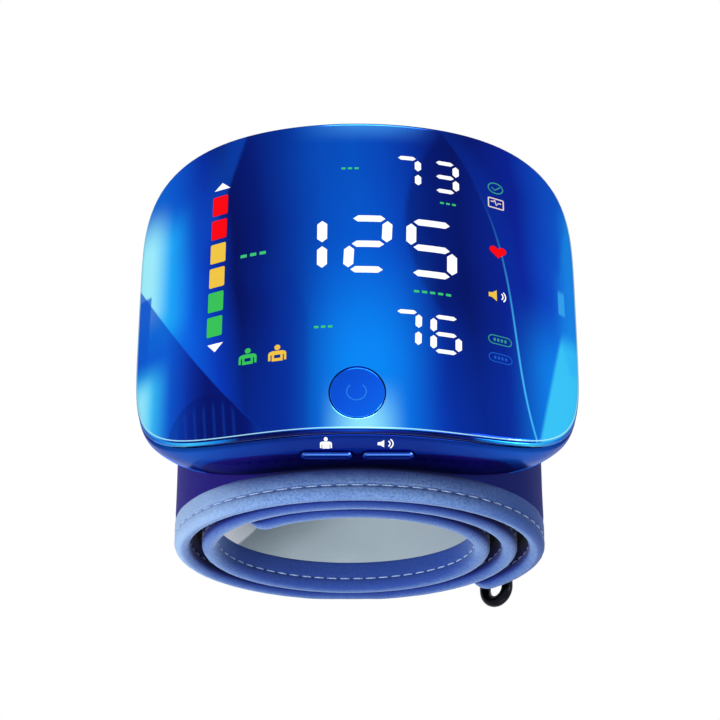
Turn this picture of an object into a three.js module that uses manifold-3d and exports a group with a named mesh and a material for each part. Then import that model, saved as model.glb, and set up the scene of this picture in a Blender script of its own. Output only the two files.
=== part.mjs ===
// A wrist blood pressure monitor: a gloss arched housing with a display under one curved panel,
// standing on its own cuff, which is wound up in an oval spiral.
// Millimetres, +Z up, +X to the right of someone reading the display, +Y away from them.
// The origin is on the surface that the cuff stands on, under the middle of the housing.
import * as THREE from 'three';
import { mergeVertices } from 'three/addons/utils/BufferGeometryUtils.js';
import Module from 'manifold-3d';

const wasm = await Module();
wasm.setup();

// Driving sizes of the housing.
const bodyWidth = 84;
const bodyDepth = 64;
const outlinePower = 5;
const archRadius = 55;
const wallHeight = 18.7;
const footPower = 3.8;
const sideDrop = 9.6;
const wallThickness = 1.8;
const clearance = 0.3;
const overrun = 2;

// Driving sizes of the wound cuff. Angles run anticlockwise seen from the front, in degrees.
const cuffWidth = 74.4;
const bandThickness = 3.2;
const spiralHalfWidth = 36;
const spiralHalfHeight = 28.4;
const sidePitch = 5.35;
const topPitch = 4.2;
const spiralCentreX = -0.9;
const outerEndAngle = -50;
const innerEndAngle = 870;
const windingStep = 10;
const standFlat = 0.5;

// The trim ring, the panel that it surrounds and the display frame that carries both.
const ringHeight = 2.4;
const ringRim = 1.3;
const ringEdge = 0.2;
const panelThickness = 1.75;
const brimThickness = 0.8;
const brimInset = 0.1;
const panelEdge = 0.4;
const deckThickness = 1.5;
const flangeInset = 0.4;
const frameFlange = 0.6;
const lipThickness = 1.2;
const lipDepth = 4.4;
const wallTaper = 0.8;

// The buttons, with their travel.
const startDiameter = 10.1;
const startY = -25;
const startTravel = 0.6;
const sideButtonLength = 9.6;
const sideButtonHeight = 2.6;
const sideButtonSpacing = 11.2;
const sideButtonDepth = 11.7;
const sideButtonProud = 0.6;
const sideButtonTravel = 0.6;
const buttonGap = 0.3;
const buttonFlange = 0.5;
const flangeThickness = 0.8;
const buttonCorner = 0.4;

// The board and what it carries.
const boardWidth = 58;
const boardFrontY = -28.2;
const boardBackY = 24.5;
const boardThickness = 1.2;
const boardDrop = 13.7;
const displayWidth = 56;
const displayDepth = 40;
const displayCentreY = 3.6;

const fullTurn = 360;
const radians = (degrees) => THREE.MathUtils.degToRad(degrees);
const halfWidth = bodyWidth / 2;
const halfDepth = bodyDepth / 2;

// The spiral's half axes shrink steadily with the angle.
const spiralWidthAt = (angle) => spiralHalfWidth - sidePitch * angle / fullTurn;
const spiralHeightAt = (angle) => spiralHalfHeight - topPitch * angle / fullTurn;
const bottomAngle = 270;
const topAngle = 90;
const spiralCentreZ = spiralHeightAt(bottomAngle) + bandThickness / 2 - standFlat;
const cuffTopZ = spiralCentreZ + spiralHeightAt(topAngle) + bandThickness / 2;
const crownZ = cuffTopZ + clearance + wallHeight;

// A point of the band's profile, at a distance outward from the middle of its thickness.
function bandPoint(angle, outward) {
  const a = radians(angle);
  const along = new THREE.Vector2(
    -spiralWidthAt(angle) * Math.sin(a), spiralHeightAt(angle) * Math.cos(a)).normalize();
  const x = spiralCentreX + spiralWidthAt(angle) * Math.cos(a) + along.y * outward;
  const z = spiralCentreZ + spiralHeightAt(angle) * Math.sin(a) - along.x * outward;
  return new THREE.Vector2(x, Math.max(z, bandThickness / 2 - outward));
}

// The arch that the panel, ring and deck follow, and the wavy lower edge of the wall.
const archZ = (x) => crownZ + Math.sqrt(archRadius ** 2 - x ** 2) - archRadius;
function lowerEdgeZ(x) {
  const share = Math.min(Math.abs(x) / halfWidth, 1);
  return crownZ - wallHeight - sideDrop * (1 - Math.cos(Math.PI * share)) / 2;
}

// One point of the housing's rounded outline, at an angle seen from above.
const outlineSteps = 72;
function outlinePoint(step, inset, power = outlinePower) {
  const angle = 2 * Math.PI * step / outlineSteps;
  const across = Math.abs(Math.cos(angle)) / (halfWidth - inset);
  const deep = Math.abs(Math.sin(angle)) / (halfDepth - inset);
  const reach = (across ** power + deep ** power) ** (-1 / power);
  return new THREE.Vector2(reach * Math.cos(angle), reach * Math.sin(angle));
}

function meshGeometry(points, triangles) {
  const geometry = new THREE.BufferGeometry();
  geometry.setAttribute('position', new THREE.Float32BufferAttribute(points.flat(), 3));
  geometry.setIndex(triangles.flat());
  return geometry;
}

// Faces between rings of points that all have the same count. A closed loft joins its last
// ring to its first, and an open one is capped by the given triangles.
function loftGeometry(rings, closed, capTriangles) {
  const count = rings[0].length;
  const triangles = [];
  const last = closed ? rings.length : rings.length - 1;
  for (let ring = 0; ring < last; ring += 1) {
    const here = ring * count;
    const there = ((ring + 1) % rings.length) * count;
    for (let step = 0; step < count; step += 1) {
      const next = (step + 1) % count;
      triangles.push([here + step, here + next, there + next]);
      triangles.push([here + step, there + next, there + step]);
    }
  }
  if (!closed) {
    const end = (rings.length - 1) * count;
    for (const [a, b, c] of capTriangles) {
      triangles.push([c, b, a]);
      triangles.push([end + a, end + b, end + c]);
    }
  }
  return meshGeometry(rings.flat(), triangles);
}

// Strips straight across an outline, from its right end to its left, which keep an arch true.
function acrossTriangles(count) {
  const triangles = [];
  for (let step = 0; step < count / 2; step += 1) {
    const mirror = (count - step) % count;
    const nextMirror = count - step - 1;
    if (step > 0) triangles.push([step, step + 1, mirror]);
    if (step + 1 < count / 2) triangles.push([step + 1, nextMirror, mirror]);
  }
  return triangles;
}

// A solid on the arch: each level has an inset from the outline, its own height rule and
// sometimes a rounder outline.
function archedSolid(levels) {
  const rings = levels.map(({ inset, height, power }) => Array.from({ length: outlineSteps }, (_, step) => {
    const at = outlinePoint(step, inset, power);
    return [at.x, at.y, height(at.x)];
  }));
  return loftGeometry(rings, false, acrossTriangles(outlineSteps));
}

// A section of insets and depths below the arch, carried all round the outline.
function archedRing(section) {
  const rings = Array.from({ length: outlineSteps }, (_, step) => section.map(([inset, depth]) => {
    const at = outlinePoint(step, inset);
    return [at.x, at.y, archZ(at.x) - depth];
  }));
  return loftGeometry(rings, true, []);
}

// A section of distances along Y and outward, wound from one angle to another with the band.
function woundStrip(section, startAngle, endAngle, step = windingStep) {
  const steps = Math.ceil((endAngle - startAngle) / step);
  const rings = Array.from({ length: steps + 1 }, (_, index) => {
    const angle = THREE.MathUtils.lerp(startAngle, endAngle, index / steps);
    return section.map(([y, outward]) => {
      const at = bandPoint(angle, outward);
      return [at.x, y, at.y];
    });
  });
  const fan = section.slice(2).map((_, index) => [0, index + 1, index + 2]);
  return loftGeometry(rings, false, fan);
}

function toManifold(geometry) {
  const plain = geometry.clone();
  plain.deleteAttribute('normal');
  plain.deleteAttribute('uv');
  const welded = mergeVertices(plain);
  const solid = new wasm.Manifold(new wasm.Mesh({
    numProp: 3,
    vertProperties: new Float32Array(welded.attributes.position.array),
    triVerts: new Uint32Array(welded.index.array),
  }));
  return solid.volume() < 0 ? toManifold(flipped(welded)) : solid;
}

function flipped(geometry) {
  const turned = geometry.clone();
  const index = turned.index.array;
  for (let corner = 0; corner < index.length; corner += 3) {
    [index[corner], index[corner + 1]] = [index[corner + 1], index[corner]];
  }
  return turned;
}

function toGeometry(solid) {
  const { vertProperties, triVerts } = solid.getMesh();
  const geometry = new THREE.BufferGeometry();
  geometry.setAttribute('position', new THREE.Float32BufferAttribute(vertProperties, 3));
  geometry.setIndex(Array.from(triVerts));
  return geometry;
}

const cut = (geometry, ...tools) => toGeometry(tools.reduce(
  (solid, tool) => solid.subtract(toManifold(tool)), toManifold(geometry)));
const join = (...pieces) => toGeometry(pieces.map(toManifold).reduce((a, b) => a.add(b)));
const common = (a, b) => toGeometry(toManifold(a).intersect(toManifold(b)));

const box = (width, depth, height, x, y, z) => new THREE.BoxGeometry(width, depth, height)
  .translate(x, y, z);

// Sides of round pieces: the start button and its bore, plain rods, inner pieces, posts and tubes.
const buttonSides = 48;
const rodSides = 32;
const innerSides = 16;
const postSides = 16;
const tubeSides = 12;
const pillSides = 8;

// A revolved solid whose profile lists radii and heights; it stands along Z.
function turned(profile, sides = rodSides) {
  return new THREE.LatheGeometry(profile.map(([r, z]) => new THREE.Vector2(r, z)), sides)
    .rotateX(Math.PI / 2);
}
const rod = (radius, bottom, top, sides = rodSides) => turned(
  [[0, bottom], [radius, bottom], [radius, top], [0, top]], sides);
const alongY = (geometry) => geometry.rotateX(-Math.PI / 2);

// A pill outline extruded along Y from one depth to another.
function pill(length, height, frontY, backY, x, z) {
  const radius = height / 2;
  const reach = length / 2 - radius;
  const shape = new THREE.Shape();
  shape.absarc(reach, 0, radius, -Math.PI / 2, Math.PI / 2, false);
  shape.absarc(-reach, 0, radius, Math.PI / 2, 3 * Math.PI / 2, false);
  const extrusion = { depth: backY - frontY, bevelEnabled: false, curveSegments: pillSides };
  return new THREE.ExtrudeGeometry(shape, extrusion)
    .rotateX(Math.PI / 2).translate(x, backY, z);
}

const finishes = {
  gloss: { color: 0x0a2bd0, roughness: 0.12, metalness: 0.3 },
  trim: { color: 0x1f7cf0, roughness: 0.1, metalness: 0.8 },
  panel: { color: 0x03128f, roughness: 0.04, metalness: 0.2 },
  inner: { color: 0xb9bfc9, roughness: 0.6, metalness: 0 },
  board: { color: 0x1d6b3a, roughness: 0.5, metalness: 0.1 },
  metal: { color: 0xb8bcc2, roughness: 0.3, metalness: 1 },
  black: { color: 0x101114, roughness: 0.4, metalness: 0 },
  cell: { color: 0x3f6fae, roughness: 0.5, metalness: 0 },
  rubber: { color: 0xd9dde0, roughness: 0.7, metalness: 0 },
  fabric: { color: 0x2a2a96, roughness: 0.9, metalness: 0 },
  hem: { color: 0x6f8fd8, roughness: 0.85, metalness: 0 },
  lining: { color: 0x93a1a8, roughness: 0.95, metalness: 0 },
};

const monitor = new THREE.Group();
function add(name, geometry, finish) {
  const solid = toGeometry(toManifold(geometry));
  const mesh = new THREE.Mesh(solid, new THREE.MeshStandardMaterial(finishes[finish]));
  mesh.name = name;
  monitor.add(mesh);
}

// The oval hollow under the housing, which lies on the cuff with a gap and a thickness.
function saddle(offset) {
  const shape = new THREE.Shape();
  for (let angle = 0; angle <= fullTurn / 2; angle += windingStep) {
    const at = bandPoint(angle, bandThickness / 2 + offset);
    if (angle === 0) shape.moveTo(at.x, at.y);
    else shape.lineTo(at.x, at.y);
  }
  shape.lineTo(-halfWidth, 0);
  shape.lineTo(halfWidth, 0);
  return new THREE.ExtrudeGeometry(shape, { depth: bodyDepth + overrun * 2, bevelEnabled: false })
    .rotateX(Math.PI / 2).translate(0, halfDepth + overrun, 0);
}

// Heights that follow the arch at a depth below it.
const below = (depth) => (x) => archZ(x) - depth;
const ringTop = brimThickness + clearance;
const frameTop = panelThickness + clearance;
const flangeTop = ringHeight + clearance;
const flangeBottom = flangeTop + frameFlange;
const wallTop = flangeBottom + clearance;
const frameBottom = frameTop + deckThickness;

// The wall from its lower edge up: how far down it each level is, its share of the taper
// and its share of the change to the rounder outline at its foot.
const wallProfileShares = [
  [1, 1, 1], [0.95, 0.35, 0.95], [0.84, 0, 0.8], [0.5, 0, 0.3], [0.06, 0, 0], [0, 0.4, 0]];
const rimInset = wallTaper * wallProfileShares.at(-1)[1];
function wallLevels(thickness) {
  return wallProfileShares.map(([downShare, taperShare, footShare]) => ({
    inset: taperShare * wallTaper + thickness,
    power: THREE.MathUtils.lerp(outlinePower, footPower, footShare),
    height: (x) => THREE.MathUtils.lerp(archZ(x) - wallTop, lowerEdgeZ(x) + thickness, downShare),
  }));
}

const startBore = (bottom, top) => rod(startDiameter / 2 + buttonGap, bottom, top, buttonSides)
  .translate(0, startY, 0);

const panelInset = ringRim + clearance;
function frontPanel() {
  const plate = archedSolid([
    { inset: panelInset, height: below(panelThickness) },
    { inset: panelInset, height: below(brimThickness) },
    { inset: brimInset, height: below(brimThickness) },
    { inset: brimInset, height: below(panelEdge) },
    { inset: brimInset + panelEdge, height: below(0) },
  ]);
  return cut(plate, startBore(crownZ - frameTop - overrun, crownZ + overrun));
}

function trimRing() {
  return archedRing([
    [ringRim, ringHeight],
    [0, ringHeight],
    [0, ringTop + ringEdge],
    [ringEdge, ringTop],
    [ringRim, ringTop],
  ]);
}

// The light guide sits in the frame's window, with a well under each figure and each bar.
const numberWidth = 13;
const numberHeight = 8.5;
const numberCentreX = 13.2;
const upperNumberY = 21.3;
const lowerNumberY = -11.8;
const numberRows = [upperNumberY, lowerNumberY];
const largeNumberWidth = 27.5;
const largeNumberHeight = 12.4;
const largeNumberX = 5.7;
const largeNumberY = 5.6;
const barX = -26;
const barTopY = 17.4;
const barPitch = 5.15;
const barCount = 6;
const wellWall = 0.6;

const boardTopZ = crownZ - boardDrop;
const boardBottomZ = boardTopZ - boardThickness;
const boxBetween = (width, depth, bottom, top, x, y) => box(
  width, depth, top - bottom, x, y, (top + bottom) / 2);

function lightGuide() {
  const block = boxBetween(displayWidth, displayDepth, boardTopZ + clearance, crownZ, 0, displayCentreY);
  const cover = archedSolid([
    { inset: panelInset, height: below(bodyDepth / 2) },
    { inset: panelInset, height: below(frameTop) },
  ]);
  const well = (width, height, x, y) => boxBetween(width, height, boardTopZ, crownZ + overrun, x, y);
  const wells = numberRows.map((y) => well(numberWidth, numberHeight, numberCentreX, y));
  wells.push(well(largeNumberWidth, largeNumberHeight, largeNumberX, largeNumberY));
  for (let bar = 0; bar < barCount; bar += 1) {
    wells.push(well(displayWidth / 2 + barX, barPitch - wellWall, barX, barTopY - bar * barPitch));
  }
  return cut(common(block, cover), ...wells);
}

// Screw bosses reach down from the frame to posts that stand on the lower case.
const screwHeadRadius = 1.6;
const bossWall = 0.5;
const bossRadius = screwHeadRadius + clearance + bossWall;
const bossX = 36.4;
const bossY = 17.2;
const bossJointDrop = 24.4;
const pilotRadius = 1.3;
const screwRadius = 1;
const screwHeadHeight = 1.3;
const screwSink = 0.6;
const screwBite = 4;
const screwHeadZ = lowerEdgeZ(bossX) + screwSink;
const bossPlaces = [[-1, -1], [1, -1], [1, 1], [-1, 1]].map(([a, b]) => [a * bossX, b * bossY]);
const rodAt = (radius, bottom, top, [x, y]) => rod(radius, bottom, top, postSides)
  .translate(x, y, 0);

const lipInset = wallThickness + rimInset + clearance;
const frameLipY = -halfDepth + lipInset + lipThickness;

function displayFrame() {
  const deck = archedSolid([
    { inset: lipInset, height: below(frameBottom) },
    { inset: lipInset, height: below(flangeBottom) },
    { inset: flangeInset, height: below(flangeBottom) },
    { inset: flangeInset, height: below(flangeTop) },
    { inset: panelInset, height: below(flangeTop) },
    { inset: panelInset, height: below(frameTop) },
  ]);
  const lip = archedRing([
    [lipInset + lipThickness, lipDepth],
    [lipInset, lipDepth],
    [lipInset, frameTop + deckThickness / 2],
    [lipInset + lipThickness, frameTop + deckThickness / 2],
  ]);
  const jointZ = crownZ - bossJointDrop;
  const bossTopZ = archZ(bossX + bossRadius) - frameTop;
  const bosses = bossPlaces.map((at) => rodAt(bossRadius, jointZ, bossTopZ, at));
  const pilots = bossPlaces.map((at) => rodAt(
    pilotRadius, jointZ - overrun, jointZ + screwBite + clearance, at));
  const window = boxBetween(displayWidth + clearance * 2, displayDepth + clearance * 2,
    boardTopZ, crownZ, 0, displayCentreY);
  return cut(join(deck, lip, ...bosses), window, startBore(boardTopZ, crownZ), ...pilots);
}

// Places inside the housing, down from the crown.
const cellRadius = 4.2;
const cellLength = 43;
const cellX = -29;
const cellY = -0.5;
const rowDrop = 19.4;
const rowZ = crownZ - rowDrop;
const pumpX = 29;
const motorRadius = 4.2;
const motorLength = 15;
const motorY = -13.5;
const headWidth = 8.4;
const headLength = 9.4;
const headY = motorY + motorLength / 2 + clearance + headLength / 2;
const valveRadius = 3.8;
const valveLength = 9;
const valveY = headY + headLength / 2 + bossRadius + valveLength / 2;
const speakerRadius = 3.4;
const speakerThickness = 3.2;
const speakerDrop = 18.6;
const speakerX = -25.6;
const speakerY = 25.6;
const speakerZ = crownZ - speakerDrop;
const cellCradleSpacing = 21;
const cradleThickness = 1.4;
const cradleLip = 1;
const postRadius = 1.8;
const postX = 18;
const rearPostX = 10;
const frontPostY = -24;
const rearPostY = 21;
const postPlaces = [[-postX, frontPostY], [postX, frontPostY], [-postX, rearPostY], [rearPostX, rearPostY]];

const portX = 17.5;
const portWidth = 9;
const portHeight = 3.2;
const portLength = 7.3;
const portWall = 0.4;
const tongueWidth = 4.5;
const tongueHeight = 0.8;
const portTabWidth = 12;
const portTabY = 28.8;
const portFrontY = 31;
const portZ = boardBottomZ - clearance - portHeight / 2;
const slotCount = 5;
const slotPitch = 1.7;
const slotWidth = 0.9;
const slotLength = 5;

// A rib across the floor with a round seat for a cylinder that lies along Y.
function cradle(x, y, radius, z = rowZ) {
  const width = (radius + cradleLip) * 2;
  const rib = boxBetween(width, cradleThickness, crownZ - wallHeight - sideDrop, z, x, y);
  return cut(rib, alongY(rod(radius + clearance, -cradleThickness, cradleThickness)).translate(x, y, z));
}

const nozzleX = 17.5;
const nozzleY = 6;
const nozzleRadius = 1.9;
const nozzleBore = 0.9;
const sideButtonXs = [-sideButtonSpacing / 2, sideButtonSpacing / 2];
const sideButtonZ = crownZ - sideButtonDepth;

function lowerCase() {
  const outer = cut(archedSolid(wallLevels(0)), saddle(clearance));
  const mouth = { inset: wallThickness + rimInset, height: below(wallTop - overrun) };
  const cavity = cut(archedSolid([...wallLevels(wallThickness), mouth]), saddle(clearance + wallThickness));
  const jointZ = crownZ - bossJointDrop - clearance;
  const floorZ = crownZ - wallHeight - sideDrop;
  const inner = join(
    ...[-1, 1].map((side) => cradle(cellX, cellY + side * cellCradleSpacing / 2, cellRadius)),
    cradle(pumpX, motorY, motorRadius),
    cradle(pumpX, headY, headWidth / 2),
    cradle(pumpX, valveY, valveRadius),
    cradle(speakerX, speakerY, speakerRadius, speakerZ),
    ...bossPlaces.map((at) => rodAt(bossRadius, floorZ, jointZ, at)),
    ...postPlaces.map((at) => rodAt(postRadius, floorZ, boardBottomZ - clearance, at)),
  );
  const screwHoles = bossPlaces.flatMap((at) => [
    rodAt(pilotRadius, floorZ - overrun, crownZ, at),
    rodAt(screwHeadRadius + clearance, floorZ - overrun, screwHeadZ + screwHeadHeight + clearance, at),
  ]);
  const buttonHoles = sideButtonXs.map((x) => pill(
    sideButtonLength + buttonGap * 2, sideButtonHeight + buttonGap * 2,
    -halfDepth - overrun, -halfDepth + wallThickness * 2, x, sideButtonZ));
  const portHole = pill(portWidth + clearance * 2, portHeight + clearance * 2,
    portTabY - overrun, halfDepth + overrun, portX, portZ);
  const slotStartY = speakerY + speakerThickness / 2;
  const slots = Array.from({ length: slotCount }, (_, index) => boxBetween(
    slotWidth, halfDepth - slotStartY + overrun, speakerZ - slotLength / 2, speakerZ + slotLength / 2,
    speakerX + (index - (slotCount - 1) / 2) * slotPitch, (halfDepth + slotStartY + overrun) / 2));
  const nozzleHole = rodAt(nozzleRadius + clearance, floorZ, boardBottomZ, [nozzleX, nozzleY]);
  const shell = cut(outer, cavity);
  const midWall = cut(archedSolid(wallLevels(wallThickness / 2)), saddle(clearance + wallThickness / 2));
  const holes = [...screwHoles, ...buttonHoles, portHole, ...slots, nozzleHole];
  return cut(join(shell, common(inner, midWall)), ...holes);
}

// The tact switches stand on the board; each plunger waits one travel and a gap from its button.
const switchGap = 0.1;
const switchSize = 6;
const switchHeight = 3.2;
const plungerRadius = 1.7;
const plungerHeight = 1;
const plungerTopZ = boardTopZ + clearance + switchHeight + plungerHeight;
const startCollar = 1.2;
const startStemRadius = 1.9;

function startButton() {
  const radius = startDiameter / 2;
  const topZ = crownZ;
  const collarRadius = radius + startCollar;
  const collarZ = archZ(collarRadius) - frameBottom - clearance;
  const liftedSkirt = box(collarRadius * 2, collarRadius * 2, collarZ - plungerTopZ + overrun, 0,
    frameLipY + clearance - collarRadius, topZ - (wallTop - startTravel - clearance * 2)
    - (collarZ - plungerTopZ + overrun) / 2);
  const cap = turned([
    [0, plungerTopZ + startTravel + switchGap],
    [startStemRadius, plungerTopZ + startTravel + switchGap],
    [startStemRadius, collarZ - flangeThickness],
    [collarRadius, collarZ - flangeThickness],
    [collarRadius, collarZ],
    [radius, collarZ],
    [radius, topZ - buttonCorner],
    [radius - buttonCorner, topZ],
    [0, topZ],
  ], buttonSides).translate(0, startY, 0);
  return cut(cap, liftedSkirt);
}

function startSwitch() {
  const base = boxBetween(
    switchSize, switchSize, boardTopZ + clearance, plungerTopZ - plungerHeight, 0, startY);
  return join(base, rodAt(plungerRadius, plungerTopZ - plungerHeight * 2, plungerTopZ, [0, startY]));
}

// Each side button is a pill through the wall, with a flange behind it that keeps it in.
const sideFaceY = -halfDepth - sideButtonProud;
const sideFlangeY = -halfDepth + wallThickness + clearance * 2;
const sideSwitchWidth = 4.4;
const sideSwitchDepth = 2.8;
const sidePlungerWidth = 2;
const sidePlungerTipY = sideFlangeY + flangeThickness + sideButtonTravel + switchGap;

function sideButton(x) {
  const face = [0, 1, 2].map((ring) => pill(
    sideButtonLength - buttonCorner * (2 - ring), sideButtonHeight - buttonCorner * (2 - ring),
    sideFaceY + buttonCorner * ring / 2, sideFlangeY + flangeThickness / 2, x, sideButtonZ));
  const flange = pill(sideButtonLength + buttonFlange * 2, sideButtonHeight + buttonFlange * 2,
    sideFlangeY, sideFlangeY + flangeThickness, x, sideButtonZ);
  return join(...face, flange);
}

function sideSwitch(x) {
  const bodyY = sidePlungerTipY + plungerHeight;
  const height = (sideButtonZ - boardTopZ - clearance) * 2;
  const base = box(sideSwitchWidth, sideSwitchDepth, height, x, bodyY + sideSwitchDepth / 2, sideButtonZ);
  const plunger = box(sidePlungerWidth, plungerHeight * 2, sidePlungerWidth,
    x, sidePlungerTipY + plungerHeight, sideButtonZ);
  return join(base, plunger);
}

// The board carries the lamps of the display on top and the controller underneath.
const lampSize = 1.6;
const lampHeight = 0.6;
const chipSize = 7;
const chipHeight = 1;
const chipX = -6;
const chipY = -6;

function mainBoard() {
  const depth = boardBackY - boardFrontY;
  const plate = boxBetween(boardWidth, depth, boardBottomZ, boardTopZ, 0, boardFrontY + depth / 2);
  const tab = boxBetween(portTabWidth, portTabY - boardBackY + overrun, boardBottomZ, boardTopZ,
    portX, (portTabY + boardBackY - overrun) / 2);
  const middleZ = boardTopZ - boardThickness / 2;
  const lamp = (x, y) => boxBetween(lampSize, lampSize, middleZ, boardTopZ + lampHeight, x, y);
  const lamps = numberRows.map((y) => lamp(numberCentreX, y));
  lamps.push(lamp(largeNumberX, largeNumberY));
  for (let bar = 0; bar < barCount; bar += 1) lamps.push(lamp(barX, barTopY - bar * barPitch));
  const chip = boxBetween(chipSize, chipSize, boardBottomZ - chipHeight, middleZ, chipX, chipY);
  return join(plate, tab, chip, ...lamps);
}

function chargingPort() {
  const shell = pill(portWidth, portHeight, portFrontY - portLength, portFrontY, portX, portZ);
  const mouth = pill(portWidth - portWall * 2, portHeight - portWall * 2,
    portFrontY - portLength + overrun, portFrontY + overrun, portX, portZ);
  const tongue = box(
    tongueWidth, portLength - portWall, tongueHeight, portX, portFrontY - portLength / 2, portZ);
  return join(cut(shell, mouth), tongue);
}

// The battery, pump, valve and speaker lie along Y in their cradles.
const capStep = 0.4;
function cylinderAlongY(radius, length, x, y, z = rowZ) {
  return alongY(turned([
    [0, -length / 2],
    [radius - capStep, -length / 2],
    [radius, -length / 2 + capStep],
    [radius, length / 2 - capStep],
    [radius - capStep, length / 2],
    [radius / 2, length / 2],
    [radius / 2, length / 2 + clearance / 2],
    [0, length / 2 + clearance / 2],
  ], innerSides)).translate(x, y, z);
}

const headFlat = 1.2;
const stubRadius = 0.8;
const stubLength = 1.6;
const tubeWall = 0.5;
const manifoldWidth = 5;
const manifoldLength = 15;
const manifoldHeight = 2.8;
const manifoldX = 17.5;
const tubeRadius = stubRadius + clearance + tubeWall;
const manifoldZ = boardBottomZ - clearance - tubeRadius;
const manifoldRight = manifoldX + manifoldWidth / 2;
const manifoldLeft = manifoldX - manifoldWidth / 2;
const portOffset = 2.3;
const pumpPortY = headY + portOffset;
const valvePortY = valveY - portOffset;
const alongX = (geometry) => geometry.rotateY(Math.PI / 2);
const barAlongX = (radius, left, right, y, z) => alongX(
  rod(radius, left, right, tubeSides)).translate(0, y, z);

function pumpHead() {
  const radius = headWidth / 2;
  const body = alongY(rod(radius, -headLength / 2, headLength / 2, innerSides))
    .translate(pumpX, headY, rowZ);
  const flat = boxBetween(headWidth - headFlat * 2, headLength, rowZ, rowZ + radius, pumpX, headY);
  return join(body, flat, barAlongX(stubRadius, pumpX - radius - stubLength, pumpX, pumpPortY, manifoldZ));
}

function exhaustValve() {
  const stub = barAlongX(stubRadius, pumpX - valveRadius - stubLength, pumpX, valvePortY, manifoldZ);
  return join(cylinderAlongY(valveRadius, valveLength, pumpX, valveY), stub);
}

function airManifold() {
  const midY = (pumpPortY + valvePortY) / 2;
  const body = box(manifoldWidth, manifoldLength, manifoldHeight, manifoldX, midY, manifoldZ);
  const stubs = [pumpPortY, valvePortY].map((y) => barAlongX(
    stubRadius, manifoldX, manifoldRight + stubLength, y, manifoldZ));
  return join(body, ...stubs);
}

// A short silicone tube whose bore slips over two stubs.
function airTube(right, y) {
  const left = manifoldRight + clearance;
  const bore = stubRadius + clearance;
  const profile = [[bore, left], [tubeRadius, left], [tubeRadius, right], [bore, right], [bore, left]];
  return alongX(turned(profile, tubeSides)).translate(0, y, manifoldZ);
}

const sensorSize = 5;
const sensorHeight = 1.6;
const sensorX = 10.6;
function pressureSensor() {
  const top = boardBottomZ - clearance;
  const body = boxBetween(sensorSize, sensorSize, top - sensorHeight, top, sensorX, nozzleY);
  const stub = barAlongX(stubRadius, sensorX, manifoldLeft - clearance, nozzleY, top - sensorHeight / 2);
  return join(body, stub);
}

// The angle at which the band's upper side lies at a given X.
function bandAngleAt(x) {
  let angle = topAngle;
  for (let pass = 0; pass < windingStep; pass += 1) {
    angle = THREE.MathUtils.radToDeg(Math.acos((x - spiralCentreX) / spiralWidthAt(angle)));
  }
  return angle;
}

const fabricThickness = 0.6;
const stiffenerThickness = 0.5;
const hemWidth = 4.5;
const coverHalf = cuffWidth / 2 - hemWidth - clearance;
const halfBand = bandThickness / 2;
const coverInner = halfBand - fabricThickness;
const stiffenerOuter = coverInner - clearance;
const stiffenerInner = stiffenerOuter - stiffenerThickness;
const bladderOuter = stiffenerInner - clearance;
const bladderInner = -coverInner + clearance;
const endHemAngle = THREE.MathUtils.radToDeg(hemWidth / spiralHalfWidth);
const gapAngle = THREE.MathUtils.radToDeg(clearance / spiralHalfHeight);
const coreStart = outerEndAngle + endHemAngle + gapAngle * 2;
const coverEnd = innerEndAngle - endHemAngle - gapAngle * 2;
const coreEnd = coverEnd - gapAngle * 2;
const bladderEnd = 560;
const layer = (half, inner, outer, start, end) => woundStrip(
  [[-half, inner], [half, inner], [half, outer], [-half, outer]], start, end);

const nozzleTop = manifoldZ - manifoldHeight / 2 - clearance;
const nozzleFoot = bandPoint(bandAngleAt(nozzleX - nozzleRadius), bladderOuter).y + clearance;
const nozzleOpening = () => rodAt(
  nozzleRadius + clearance, nozzleFoot - overrun * 2, crownZ, [nozzleX, nozzleY]);
function airNozzle() {
  const bore = rodAt(nozzleBore, nozzleFoot - overrun, nozzleTop + overrun, [nozzleX, nozzleY]);
  return cut(rodAt(nozzleRadius, nozzleFoot, nozzleTop, [nozzleX, nozzleY]), bore);
}

// A hem is a rounded strip along the band's edge, on the front or the rear side.
const hemRoundSteps = 4;
function edgeHem(side) {
  const rim = Array.from({ length: hemRoundSteps + 1 }, (_, step) => {
    const angle = Math.PI * (step / hemRoundSteps - 1 / 2);
    return [side * (cuffWidth / 2 - halfBand + halfBand * Math.cos(angle)), halfBand * Math.sin(angle)];
  });
  const root = side * (cuffWidth / 2 - hemWidth);
  return woundStrip([[root, -halfBand], ...rim, [root, halfBand]], outerEndAngle, innerEndAngle);
}
const endHem = (start) => layer(coverHalf, -halfBand, halfBand, start, start + endHemAngle);

const patchHalf = 27;
const patchThickness = 0.4;
const patchStart = 786;
const patchEnd = 850;

// The oblong ring turns in a fabric tab that is sewn to the outer end of the band.
const wireRadius = 1.15;
const ringWidth = 8;
const ringHalfLength = 39.6;
const ringAngle = -43;
const tabHalf = 30;
const tabLength = 9;
const tabStep = 2.5;
const ringRestDistance = halfBand + clearance * 2 + fabricThickness + wireRadius;
const ringReach = ringWidth / 2 - wireRadius;
const ringCentre = bandPoint(ringAngle, ringRestDistance);
const ringOnward = bandPoint(ringAngle + 1, ringRestDistance).sub(ringCentre).normalize();
const ringTilt = -Math.atan2(ringOnward.y, ringOnward.x);
const hinge = ringCentre.clone().addScaledVector(ringOnward, ringReach);
const wireSides = 10;
const wireBendSteps = 8;

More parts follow.
